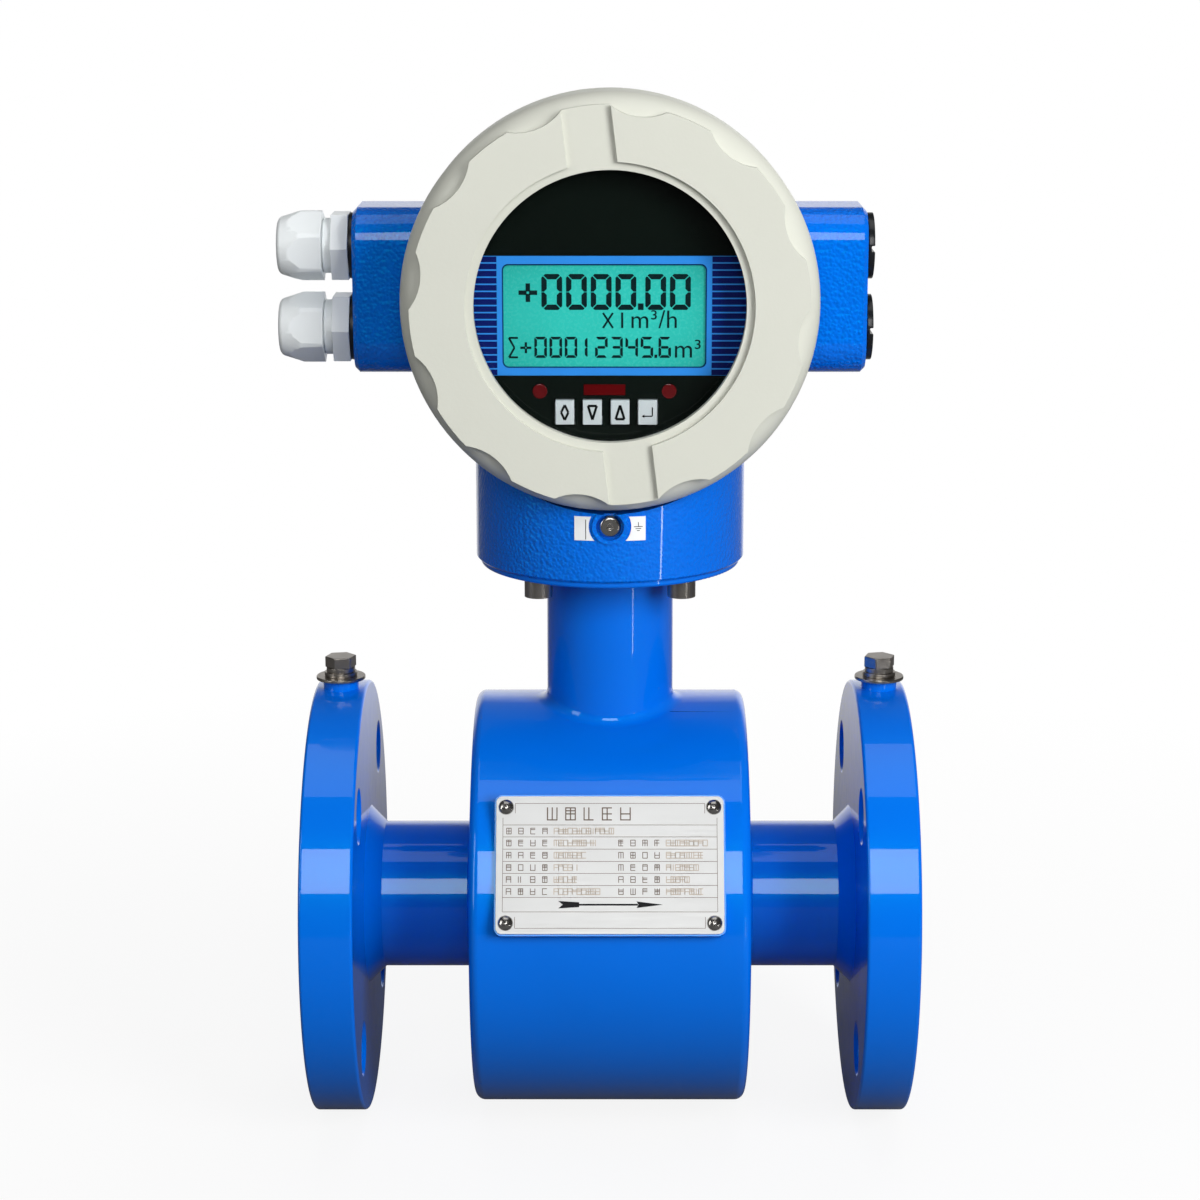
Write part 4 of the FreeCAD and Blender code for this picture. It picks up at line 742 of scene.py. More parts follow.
@dataclass(frozen=True)
class SegmentFace:
    """A seven-bar digit's proportions, in millimetres.

    Args:
        width: over its bars.
        height: over its bars.
        pen: width of a bar.
        gap: between bars.
        cut: slant across its outer corners.
        advance: from one digit to the next.
    """

    width: float
    height: float
    pen: float
    gap: float
    cut: float
    advance: float

    def segment(self, which: Segment) -> Outline:
        """One bar's outline, anticlockwise."""
        w, h, s, g, c = self.width, self.height, self.pen, self.gap, self.cut
        half, near = h / 2, g / 2
        top = [(c, h), (c / 2 + near, h - c / 2 + near), (s + g, h - s), (w - s - g, h - s)]
        top += [(w - c / 2 - near, h - c / 2 + near), (w - c, h)]
        left = [(0, h - c), (0, half + near), (s / 2, half + near), (s, half + near + s / 2)]
        left += [(s, h - s - g), (c / 2 - near, h - c / 2 - near)]
        middle = [(s * 0.6 + g, half), (s + g, half - s / 2), (w - s - g, half - s / 2)]
        middle += [(w - s * 0.6 - g, half), (w - s - g, half + s / 2), (s + g, half + s / 2)]
        right = [(w - x, y) for x, y in reversed(left)]
        turned = {
            Segment.TOP: top,
            Segment.UPPER_LEFT: left,
            Segment.MIDDLE: middle,
            Segment.UPPER_RIGHT: right,
            Segment.BOTTOM: [(x, h - y) for x, y in reversed(top)],
            Segment.LOWER_LEFT: [(x, h - y) for x, y in reversed(left)],
            Segment.LOWER_RIGHT: [(x, h - y) for x, y in reversed(right)],
        }
        return turned[which]

    def number(self, text: str) -> list[Outline]:
        """Draw a number.

        Args:
            text: digits, with a point where it has one.

        Returns:
            Outlines, from x = 0.
        """
        outlines = []
        x = 0.0
        for sign in text:
            if sign == ".":
                dot = self.pen * 1.05
                low = (x - (self.advance - self.width) / 2 - dot / 2, 0.0)
                room = dot * 0.9
                outlines.append(bar(low[0] + room / 2, 0.0, low[0] + dot + room / 2, dot * 1.15))
                x += room
                continue
            bars = [self.segment(Segment(letter)) for letter in DIGITS[sign]]
            inward = (self.width - self.pen) / 2 if sign == "1" else 0.0
            outlines += shifted(bars, x - inward)
            x += self.advance
        return outlines

    def plus(self) -> list[Outline]:
        """A plus sign of four arms round a small gap, centred on zero."""
        reach, half = self.height * 0.26, max(self.pen * 0.42, 0.42)
        arm = bar(self.pen * 0.22, -half, reach, half)
        turned = [arm, [(-y, x) for x, y in arm], [(-x, -y) for x, y in arm]]
        return turned + [[(y, -x) for x, y in arm]]


# --- Meshes ---
def solid_from(outlines: Iterable[Outline], thickness: float) -> bmesh.types.BMesh:
    """Thin prisms on the XY plane, in metres.

    Args:
        outlines: anticlockwise outlines in millimetres.
        thickness: towards +Z, millimetres.

    Returns:
        A closed mesh.
    """
    made = bmesh.new()
    for outline in outlines:
        low = [made.verts.new((x * MM, y * MM, 0.0)) for x, y in outline]
        high = [made.verts.new((x * MM, y * MM, thickness * MM)) for x, y in outline]
        made.faces.new(high)
        made.faces.new(list(reversed(low)))
        for i in range(len(low)):
            j = (i + 1) % len(low)
            made.faces.new((low[i], low[j], high[j], high[i]))
    bmesh.ops.recalc_face_normals(made, faces=made.faces)
    return made


def window_from(outer: Outline, inner: Outline, thickness: float) -> bmesh.types.BMesh:
    """A thin frame between two outlines with the same count of corners.

    Args:
        outer: outside outline, millimetres.
        inner: inside outline, millimetres.
        thickness: towards +Z, millimetres.

    Returns:
        A closed mesh in metres.
    """
    made = bmesh.new()
    loops = []
    for outline in (outer, inner):
        for height in (0.0, thickness):
            loops.append([made.verts.new((x * MM, y * MM, height * MM)) for x, y in outline])
    out_low, out_high, in_low, in_high = loops
    for i in range(len(outer)):
        j = (i + 1) % len(outer)
        for a, b in ((out_low, out_high), (out_high, in_high), (in_high, in_low), (in_low, out_low)):
            made.faces.new((a[i], a[j], b[j], b[i]))
    bmesh.ops.recalc_face_normals(made, faces=made.faces)
    return made


def sheet_matrix(origin: Vector, across: Vector, up: Vector) -> Matrix:
    """Matrix that lays the XY plane on a face.

    Args:
        origin: where the drawing's zero goes, metres.
        across: direction of X.
        up: direction of Y.

    Returns:
        The matrix; Z leaves the face.
    """
    out = across.cross(up)
    made = Matrix.Identity(4)
    for column, vector in enumerate((across, up, out, origin)):
        for row in range(3):
            made[row][column] = vector[row]
    return made


FRONT_ACROSS, FRONT_UP = Vector((1, 0, 0)), Vector((0, 0, 1))


class Growth:
    """A Geometry Nodes tree with named inputs that ends as one mesh."""

    KINDS = {int: "NodeSocketInt", float: "NodeSocketFloat", tuple: "NodeSocketVector"}

    def __init__(self, name: str, inputs: dict[str, Any], finish: Finish) -> None:
        """Start a tree.

        Args:
            name: the tree's name.
            inputs: its inputs' names and first values.
            finish: finish of what it grows.
        """
        self.tree = bpy.data.node_groups.new(name, "GeometryNodeTree")
        self.finish = finish
        self.keys = {}
        for key, value in inputs.items():
            socket = self.tree.interface.new_socket(
                name=key, in_out="INPUT", socket_type=self.KINDS[type(value)]
            )
            socket.default_value = value
            self.keys[key] = socket.identifier
        self.tree.interface.new_socket(
            name="Geometry", in_out="OUTPUT", socket_type="NodeSocketGeometry"
        )
        self.given = add_node(self.tree, "NodeGroupInput")

    def input(self, key: str) -> bpy.types.NodeSocket:
        """One of the tree's inputs."""
        return self.given.outputs[key]

    def node(
        self,
        kind: str,
        settings: dict[str, Any] | None = None,
        inputs: dict[str | int, Any] | None = None,
    ) -> bpy.types.Node:
        """Add a node to the tree; see add_node."""
        return add_node(self.tree, kind, settings, inputs)

    def number(self, operation: str, first: Any, second: Any = 0.0) -> bpy.types.NodeSocket:
        """A Math node's result."""
        return self.node("ShaderNodeMath", {"operation": operation}, {0: first, 1: second}).outputs[0]

    def vector(self, **parts: Any) -> bpy.types.NodeSocket:
        """A vector of the parts named X, Y and Z; a part left out is zero."""
        return self.node("ShaderNodeCombineXYZ", {}, parts).outputs[0]

    def block(self, size: Any = (1.0, 1.0, 1.0)) -> bpy.types.NodeSocket:
        """A block of a size."""
        return self.node("GeometryNodeMeshCube", {}, {"Size": size}).outputs[0]

    def line(self) -> bpy.types.NodeSocket:
        """Points in a line, from the inputs Count, Start and Step."""
        ends = {"Start Location": self.input("Start"), "Offset": self.input("Step")}
        return self.node("GeometryNodeMeshLine", {}, {"Count": self.input("Count"), **ends}).outputs[0]

    def moved(self, points: bpy.types.NodeSocket, offset: Any) -> bpy.types.NodeSocket:
        """Points moved by an offset."""
        inputs = {"Geometry": points, "Offset": offset}
        return self.node("GeometryNodeSetPosition", {}, inputs).outputs[0]

    def chosen(self, chance: float, seed: Any) -> bpy.types.NodeSocket:
        """True on some of the points, each by the same chance."""
        inputs = {"Probability": chance, "Seed": seed}
        made = self.node("FunctionNodeRandomValue", {"data_type": "BOOLEAN"}, inputs)
        return find_socket(made.outputs, "Value")

    def placed(
        self, points: bpy.types.NodeSocket, piece: bpy.types.NodeSocket, **more: Any
    ) -> bpy.types.NodeSocket:
        """A piece on each point; more can be its Scale and the Selection of points."""
        inputs = {"Points": points, "Instance": piece, **more}
        return self.node("GeometryNodeInstanceOnPoints", {}, inputs).outputs[0]

    def close(self, parts: Sequence[bpy.types.NodeSocket]) -> None:
        """End the tree: join, make real, and give the finish.

        Args:
            parts: geometry sockets to join.
        """
        joined = self.node("GeometryNodeJoinGeometry")
        for part in parts:
            self.tree.links.new(part, joined.inputs[0])
        real = self.node("GeometryNodeRealizeInstances", {}, {0: joined.outputs[0]})
        look = {"Geometry": real.outputs[0], "Material": self.finish.material()}
        dressed = self.node("GeometryNodeSetMaterial", {}, look)
        end = add_node(self.tree, "NodeGroupOutput")
        self.tree.links.new(dressed.outputs[0], end.inputs[0])

    def grow(self, **values: Any) -> bpy.types.Mesh:
        """Run the tree.

        Args:
            values: inputs by name, with underscores for spaces.

        Returns:
            A plain mesh.
        """
        seed = bpy.data.objects.new("growth", bpy.data.meshes.new("growth"))
        bpy.context.scene.collection.objects.link(seed)
        modifier = seed.modifiers.new("growth", "NODES")
        modifier.node_group = self.tree
        for key, value in values.items():
            modifier[self.keys[key.replace("_", " ")]] = value
        evaluated = seed.evaluated_get(bpy.context.evaluated_depsgraph_get())
        mesh = bpy.data.meshes.new_from_object(evaluated)
        bpy.data.objects.remove(seed)
        return mesh


LINE_INPUTS = {"Count": 2, "Start": (0.0, 0.0, 0.0), "Step": (0.0, 0.0, 0.0)}


def bars_to_a_circle(finish: Finish) -> Growth:
    """Level bars from an upright edge out to a circle's rim.

    Args:
        finish: their finish.

    Returns:
        Tree with Count, Start, Step, Centre, Rim, Edge, Side, Height and Depth.
    """
    sizes = {"Centre": 0.0, "Rim": 0.05, "Edge": 0.04, "Side": 1.0, "Height": 0.002, "Depth": 0.0001}
    tree = Growth("bars_to_a_circle", {**LINE_INPUTS, **sizes}, finish)
    line = tree.line()
    place = tree.node("ShaderNodeSeparateXYZ", {}, {0: tree.node("GeometryNodeInputPosition").outputs[0]})
    up = tree.number("SUBTRACT", place.outputs[2], tree.input("Centre"))
    rim_squared, up_squared = (tree.number("POWER", v, 2.0) for v in (tree.input("Rim"), up))
    reach = tree.number("SQRT", tree.number("SUBTRACT", rim_squared, up_squared))
    length = tree.number("SUBTRACT", reach, tree.input("Edge"))
    middle = tree.number("ADD", tree.number("MULTIPLY", length, 0.5), tree.input("Edge"))
    moved = tree.moved(line, tree.vector(X=tree.number("MULTIPLY", middle, tree.input("Side"))))
    size = tree.vector(X=length, Y=tree.input("Depth"), Z=tree.input("Height"))
    tree.close([tree.placed(moved, tree.block(), Scale=size)])
    return tree


def line_of_marks(finish: Finish) -> Growth:
    """Squared marks that stand for filled-in text, each of a few bars picked by a seed.

    Args:
        finish: their finish.

    Returns:
        Tree with Count, Start, Step, Tall, Pen, Depth and Seed.
    """
    sizes = {"Tall": 0.002, "Pen": 0.0002, "Depth": 0.00004, "Seed": 1}
    tree = Growth("line_of_marks", {**LINE_INPUTS, **sizes}, finish)
    tall, pen, depth = (tree.input(key) for key in ("Tall", "Pen", "Depth"))
    line = tree.line()
    wide = tree.number("MULTIPLY", tall, 0.72)
    # Each bar's place, as a share of the mark's height, and the chance that it is there.
    upright = ((-0.36, 1.0), (0.36, 0.8), (0.0, 0.35))
    level = ((0.46, 0.8), (0.0, 0.7), (-0.46, 0.75), (0.24, 0.4))
    parts = []
    for index, (place, chance) in enumerate(upright + level):
        standing = index < len(upright)
        size = tree.vector(X=pen if standing else wide, Y=tall if standing else pen, Z=depth)
        shift = tree.number("MULTIPLY", tall, place)
        moved = tree.moved(line, tree.vector(**{"X" if standing else "Y": shift}))
        picked = tree.chosen(chance, tree.number("ADD", tree.input("Seed"), index * 7.0))
        parts.append(tree.placed(moved, tree.block(size), Selection=picked))
    tree.close(parts)
    return tree


def parts_on_a_board(finish: Finish) -> Growth:
    """Small packages of mixed sizes on a grid.

    Args:
        finish: their finish.

    Returns:
        Tree with Width, Tall, Columns, Rows, Depth and Seed, on the XY plane.
    """
    sizes = {"Width": 0.06, "Tall": 0.05, "Columns": 8, "Rows": 6, "Depth": 0.0015, "Seed": 1}
    tree = Growth("parts_on_a_board", sizes, finish)
    grid = tree.node(
        "GeometryNodeMeshGrid", {},
        {
            "Size X": tree.input("Width"), "Size Y": tree.input("Tall"),
            "Vertices X": tree.input("Columns"), "Vertices Y": tree.input("Rows"),
        },
    )
    size = tree.node(
        "FunctionNodeRandomValue", {"data_type": "FLOAT_VECTOR"},
        {"Min": (0.0014, 0.0011, 0.8), "Max": (0.0048, 0.0036, 1.0), "Seed": tree.input("Seed")},
    )
    flat = tree.node("ShaderNodeSeparateXYZ", {}, {0: find_socket(size.outputs, "Value")})
    tall = tree.number("MULTIPLY", flat.outputs[2], tree.input("Depth"))
    scale = tree.vector(X=flat.outputs[0], Y=flat.outputs[1], Z=tall)
    raised = tree.moved(grid.outputs[0], tree.vector(Z=tree.number("MULTIPLY", tall, 0.5)))
    picked = tree.chosen(0.7, tree.number("ADD", tree.input("Seed"), 5.0))
    tree.close([tree.placed(raised, tree.block(), Scale=scale, Selection=picked)])
    return tree


# --- Workshop: what turns solids and drawings into pieces ---
SAME_PLACE = 2e-6  # metres within which a CAD mesh's loose corners are one
SAME_PLANE = 0.3  # degrees within which two of its faces are one
CAPITAL_SHARE = 0.69  # of a lettering's size that its capitals take


@dataclass
class Workshop:
    """Dresses CAD nodes and adds pieces, each on its body.

    Args:
        frame: the loaded frame.
    """

    frame: dict[str, Any]

    def body_of(self, node: str) -> str:
        """Name of the body that a node rides on."""
        return self.frame["nodes"][node]["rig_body"]

    def add(
        self, name: str, mesh: bpy.types.Mesh | bmesh.types.BMesh, finish: Finish, body: str,
        placed: Matrix | Callable[[Vector], Vector] | None = None,
    ) -> bpy.types.Object:
        """Make a piece.

        Args:
            name: the piece's name.
            mesh: its mesh, or a bmesh that is used up.
            finish: its finish.
            body: the body that it rides on.
            placed: matrix or function that places its vertices.

        Returns:
            The piece.
        """
        if isinstance(mesh, bmesh.types.BMesh):
            data = bpy.data.meshes.new(name)
            mesh.to_mesh(data)
            mesh.free()
        else:
            data = mesh
            data.name = name
        if isinstance(placed, Matrix):
            data.transform(placed)
        elif placed is not None:
            for vertex in data.vertices:
                vertex.co = placed(vertex.co)
        data.materials.clear()
        data.materials.append(finish.material())
        piece = bpy.data.objects.new(name, data)
        bpy.context.scene.collection.objects.link(piece)
        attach(piece, body)
        LOG.info("piece %s on %s", name, body)
        return piece

    def soften(
        self, node: str, finish: Finish, edge: float = 0.3, steps: int = 2, angle: float = 28.0
    ) -> bpy.types.Object:
        """Show a CAD node by a copy with smooth curves and softened edges.

        Args:
            node: the CAD node.
            finish: its finish.
            edge: how far an edge is rounded, millimetres.
            steps: steps of the rounding.
            angle: degrees between faces from which an edge is sharp.

        Returns:
            The piece that stands for the node.
        """
        shape = bmesh.new()
        shape.from_mesh(self.frame["nodes"][node].data)
        bmesh.ops.remove_doubles(shape, verts=shape.verts, dist=SAME_PLACE)
        bmesh.ops.dissolve_limit(
            shape, angle_limit=math.radians(SAME_PLANE), verts=shape.verts, edges=shape.edges
        )
        for face in shape.faces:
            face.smooth = True
        limit = math.radians(angle)
        for line in shape.edges:
            line.smooth = len(line.link_faces) == 2 and line.calc_face_angle(0.0) < limit
        piece = self.add(f"dressed_{node}", shape, finish, self.body_of(node))
        if edge:
            rounding = piece.modifiers.new("edges", "BEVEL")
            rounding.width = edge * MM
            rounding.segments = steps
            rounding.limit_method = "ANGLE"
            rounding.angle_limit = limit
            rounding.use_clamp_overlap = True
            rounding.miter_outer = "MITER_ARC"
            rounding.harden_normals = False
        weighted = piece.modifiers.new("shading", "WEIGHTED_NORMAL")
        weighted.keep_sharp = not edge
        weighted.weight = 80
        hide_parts(node)
        return piece

    def paint(self, node: str, finish: Finish) -> None:
        """Give a CAD node that stays its finish."""
        data = self.frame["nodes"][node].data
        data.materials.clear()
        data.materials.append(finish.material())
        LOG.info("node %s in %s", node, finish.name)

    def lettering(self, text: str, height: float, film: float) -> bpy.types.Mesh:
        """A plain number or unit as a thin mesh about the XY plane, from x = 0.

        Args:
            text: what it says.
            height: of its capitals, millimetres.
            film: its thickness, millimetres.

        Returns:
            The mesh in metres.
        """
        curve = bpy.data.curves.new("lettering", "FONT")
        curve.body = text
        curve.size = height * MM / CAPITAL_SHARE
        curve.extrude = film * MM / 2
        holder = bpy.data.objects.new("lettering", curve)
        bpy.context.scene.collection.objects.link(holder)
        evaluated = holder.evaluated_get(bpy.context.evaluated_depsgraph_get())
        mesh = bpy.data.meshes.new_from_object(evaluated)
        bpy.data.objects.remove(holder)
        return mesh


# --- Sub-assemblies ---
@dataclass
class Sensor:
    """Welded sensor: tube, flanges, coil housing, neck and what is inside them.

    Args:
        weld_edge: rounding of the welded pieces' edges, millimetres.
    """

    weld_edge: float = 0.5

    def build(self, shop: Workshop) -> None:
        """Dress every part of the sensor."""
        for node in ("inlet_flange", "outlet_flange", "measuring_tube"):
            shop.soften(node, BLUE_ENAMEL, 0.35)
        for node in ("coil_housing", "neck_tube", "neck_plate"):
            shop.soften(node, BLUE_ENAMEL, self.weld_edge)
        shop.soften("nameplate_seat", BLUE_ENAMEL, 0.4)
        shop.soften("tube_liner", LINER, 0.3)
        shop.soften("neck_gasket", SEAL, 0.2)
        shop.soften("neck_screws", STEEL_UPRIGHT, 0.3)
        shop.soften("neck_spring_washers", STEEL_UPRIGHT, 0.15)
        shop.soften("electrodes", STEEL_FRONT, 0.2)
        self.build_inside(shop)
        self.build_earth_bolts(shop)

    def build_inside(self, shop: Workshop) -> None:
        """Give the coil system and the electrodes' fittings their finishes."""
        inside = {
            "electrode_insulators": INSULATOR,
            "electrode_nuts": STEEL_FRONT,
            "pole_pieces": SOFT_IRON,
            "coil_bobbins": BOBBIN,
            "coil_windings": WIRE,
            "magnetic_yoke": SOFT_IRON,
            "yoke_screws": STEEL_UPRIGHT,
            "lead_bundle": SHEATH,
            "lead_plug": TERMINAL,
        }
        for node, finish in inside.items():
            shop.paint(node, finish)

    def build_earth_bolts(self, shop: Workshop) -> None:
        """Dress the two earthing bolts on the flanges and their washers."""
        shop.soften("ground_bolts", STEEL_UPRIGHT, 0.35, 3)
        for kind, edge in (("wide", 0.3), ("plain", 0.25), ("spring", 0.2)):
            shop.soften(f"ground_{kind}_washers", STEEL_UPRIGHT, edge)


@dataclass(frozen=True)
class MarkFace:
    """A kind of squared mark, in millimetres.

    Args:
        tall: height of a mark.
        pen: width of its bars.
        step: from one mark to the next.
    """

    tall: float
    pen: float
    step: float


@dataclass
class Nameplate:
    """Etched nameplate with squared marks in place of its text.

    Args:
        width: of the plate, millimetres.
        height: of the plate.
        tilt: degrees that its face looks up.
        side: from the plate's side edges to the border.
        pen: width of the ruled lines.
        film: thickness of the print.
        rivet_room: how far the border stays off a corner, across and down.
        border: depths of the border's level lines below the plate's upper edge.
        steps: depths at which the border's short uprights end.
        rows: depths of the ruled rows.
        columns: where the names start in both columns.
        value_gap: from a name's start to its value's.
        value_counts: marks in each row's two values; a row without one has 0.
        heading: marks of the heading.
        name: marks of a name.
        value: marks of a value.
    """

    width: float = 79.4
    height: float = 48.2
    tilt: float = 26.5
    side: float = 2.3
    pen: float = 0.17
    film: float = 0.03
    rivet_room: Point = (6.6, 7.6)
    border: Point = (2.5, 46.2)
    steps: Point = (6.0, 42.3)
    rows: tuple[float, ...] = (10.1, 14.3, 18.6, 22.9, 27.1, 31.3, 35.5, 40.5)
    columns: Point = (4.4, 43.5)
    value_gap: float = 16.6
    value_counts: tuple[tuple[int, int], ...] = ((13, 0), (9, 9), (7, 8), (5, 7), (5, 5), (10, 8))
    heading: MarkFace = MarkFace(4.6, 0.42, 6.4)
    name: MarkFace = MarkFace(2.2, 0.26, 4.2)
    value: MarkFace = MarkFace(2.2, 0.3, 1.6)

    def build(self, shop: Workshop) -> None:
        """Dress the plate and its rivets, and draw its print."""
        shop.soften("nameplate", PLATE_METAL, 0.25)
        shop.soften("nameplate_rivets", STEEL_FRONT, 0.2)
        face = self.face_matrix(shop)
        lines = solid_from(self.ruled_lines(), self.film)
        shop.add("nameplate_lines", lines, ETCHING, "meter", face)
        shop.add("nameplate_arrow", solid_from(self.flow_arrow(), self.film), BLACK_INK, "meter", face)
        self.build_marks(shop, face)

    def face_matrix(self, shop: Workshop) -> Matrix:
        """Matrix from the plate's lower left corner to its face."""
        turn = math.radians(self.tilt)
        out = Vector((0, -math.cos(turn), math.sin(turn)))
        up = Vector((0, math.sin(turn), math.cos(turn)))
        points = [v.co for v in shop.frame["nodes"]["nameplate"].data.vertices]
        depth = max(point.dot(out) for point in points)
        middle = sum(f(point.dot(up) for point in points) for f in (min, max)) / 2
        corner = out * depth + up * (middle - self.height * MM / 2)
        return sheet_matrix(corner + Vector((-self.width * MM / 2, 0, 0)), FRONT_ACROSS, up)

    def level(self, down: float) -> float:
        """Height above the lower edge of a place below the upper one."""
        return self.height - down

    def upright(self, x: float, low: float, high: float) -> Outline:
        """An upright ruled line between two depths."""
        return bar(x - self.pen / 2, self.level(low), x + self.pen / 2, self.level(high))

    def ruled_lines(self) -> list[Outline]:
        """The border, stepped round the rivets, and the rows."""
        left, right = self.side, self.width - self.side
        step_x, step_y = self.rivet_room
        outlines = [self.upright(x, self.rows[-1], step_y) for x in (left, right)]
        for x in (step_x, self.width - step_x):
            outlines.append(self.upright(x, self.border[1], self.steps[1]))
            outlines.append(self.upright(x, self.steps[0], self.border[0]))
        level_lines = [(step_x, self.width - step_x, down) for down in self.border]
        level_lines += [(left, right, down) for down in self.rows]
        for start, end, down in level_lines:
            y = self.level(down)
            outlines.append(bar(start, y - self.pen / 2, end, y + self.pen / 2))
        return outlines

    def flow_arrow(self) -> list[Outline]:
        """The flow arrow: notched tail, thin shaft and long head."""
        y = self.level(38.0)
        tail = [(21.7, y - 1.3), (29.0, y - 0.85), (29.0, y + 0.85), (21.7, y + 1.3), (23.3, y)]
        shaft = bar(29.0, y - 0.32, 49.4, y + 0.32)
        head = [(48.9, y - 1.15), (58.1, y), (48.9, y + 1.15), (49.6, y)]
        return [tail, shaft, head]

    def marks(self, tree: Growth, face: MarkFace, place: Point, count: int, seed: int) -> bpy.types.Mesh:
        """Grow a line of marks.

        Args:
            tree: the tree that grows it.
            face: the kind of mark.
            place: middle of its first mark, millimetres from the lower left corner.
            count: how many marks.
            seed: picks their bars.

        Returns:
            The mesh in metres.
        """
        return tree.grow(
            Count=count, Start=(place[0] * MM, place[1] * MM, self.film * MM / 2),
            Step=(face.step * MM, 0, 0), Tall=face.tall * MM, Pen=face.pen * MM,
            Depth=self.film * MM, Seed=seed,
        )

    def build_marks(self, shop: Workshop, face: Matrix) -> None:
        """Squared marks in the heading and in the rows' two columns."""
        etched, faint = line_of_marks(ETCHING), line_of_marks(FAINT_ETCHING)
        heading = self.marks(etched, self.heading, (19.5, self.level(6.2)), 5, 11)
        shop.add("nameplate_heading", heading, ETCHING, "meter", face)
        names, values = [], []
        for row, counts in enumerate(self.value_counts):
            y = self.level(self.rows[row] + 2.15)
            for column, count in enumerate(counts):
                if not count:
                    continue
                x = self.columns[column]
                names.append(self.marks(etched, self.name, (x, y), 4, 31 + 17 * row + 5 * column))
                value_place = (x + self.value_gap, y)
                seed = 57 + 13 * row + 3 * column
                values.append(self.marks(faint, self.value, value_place, count, seed))
        shop.add("nameplate_names", joined(names), ETCHING, "meter", face)
        shop.add("nameplate_values", joined(values), FAINT_ETCHING, "meter", face)


def joined(meshes: Sequence[bpy.types.Mesh]) -> bmesh.types.BMesh:
    """Meshes as one."""
    made = bmesh.new()
    for mesh in meshes:
        made.from_mesh(mesh)
    return made


@dataclass
class Converter:
    """Converter casting with its earth label and screw, and the blanking plugs.

    Args:
        cup_radius: of the cup under the chambers, millimetres.
        label_low: height of the label's lower edge.
        label_skin: thickness of the label.
        film: thickness of its print.
    """

    cup_radius: float = 48.5
    label_low: float = 145.7
    label_skin: float = 0.3
    film: float = 0.05

    def build(self, shop: Workshop) -> None:
        """Dress the casting and what is fixed to it."""
        shop.soften("converter_housing", BLUE_CASTING, 0.45)
        shop.soften("earth_screw", STEEL_FRONT, 0.3)
        shop.soften("earth_label", LABEL, 0.0)
        shop.soften("blanking_plugs", BLACK_NYLON, 0.4, 3)
        shop.soften("plug_washers", SEAL, 0.2)
        rule = bar(-8.6, 0.4, -8.35, 7.4)
        marks = solid_from([rule] + self.earth_sign(9.9, 4.9), self.film)
        shop.add("earth_label_print", marks, BLACK_INK, "meter", self.wrapped)

    def wrapped(self, point: Vector) -> Vector:
        """Bend a drawing round the cup; its Y starts at the label's lower edge."""
        radius = self.cup_radius * MM + self.label_skin * MM + point.z
        turn = point.x / radius
        return Vector(
            (radius * math.sin(turn), -radius * math.cos(turn), self.label_low * MM + point.y)
        )

    def earth_sign(self, x: float, y: float) -> list[Outline]:
        """The usual earth sign: a stem over three bars, each shorter."""
        sign = [bar(x - 0.12, y, x + 0.12, y + 1.6)]
        for index, half in enumerate((1.5, 1.0, 0.5)):
            sign.append(bar(x - half, y - 0.7 * index - 0.12, x + half, y - 0.7 * index + 0.12))
        return sign


@dataclass
class Covers:
    """The screwed front and rear covers, with the window and the seals.

    Args:
        edge: rounding of the raised lobes, millimetres.
    """

    edge: float = 0.5

    def build(self, shop: Workshop) -> None:
        """Dress both covers."""
        for node in ("front_cover", "rear_cover"):
            shop.soften(node, COVER_PAINT, self.edge, 3, 24.0)
        for node in ("front_cover_seal", "rear_cover_seal", "window_gasket"):
            shop.soften(node, SEAL, 0.0)
        shop.soften("window_glass", GLASS, 0.3)
        shop.soften("window_ring", STEEL_FRONT, 0.3)


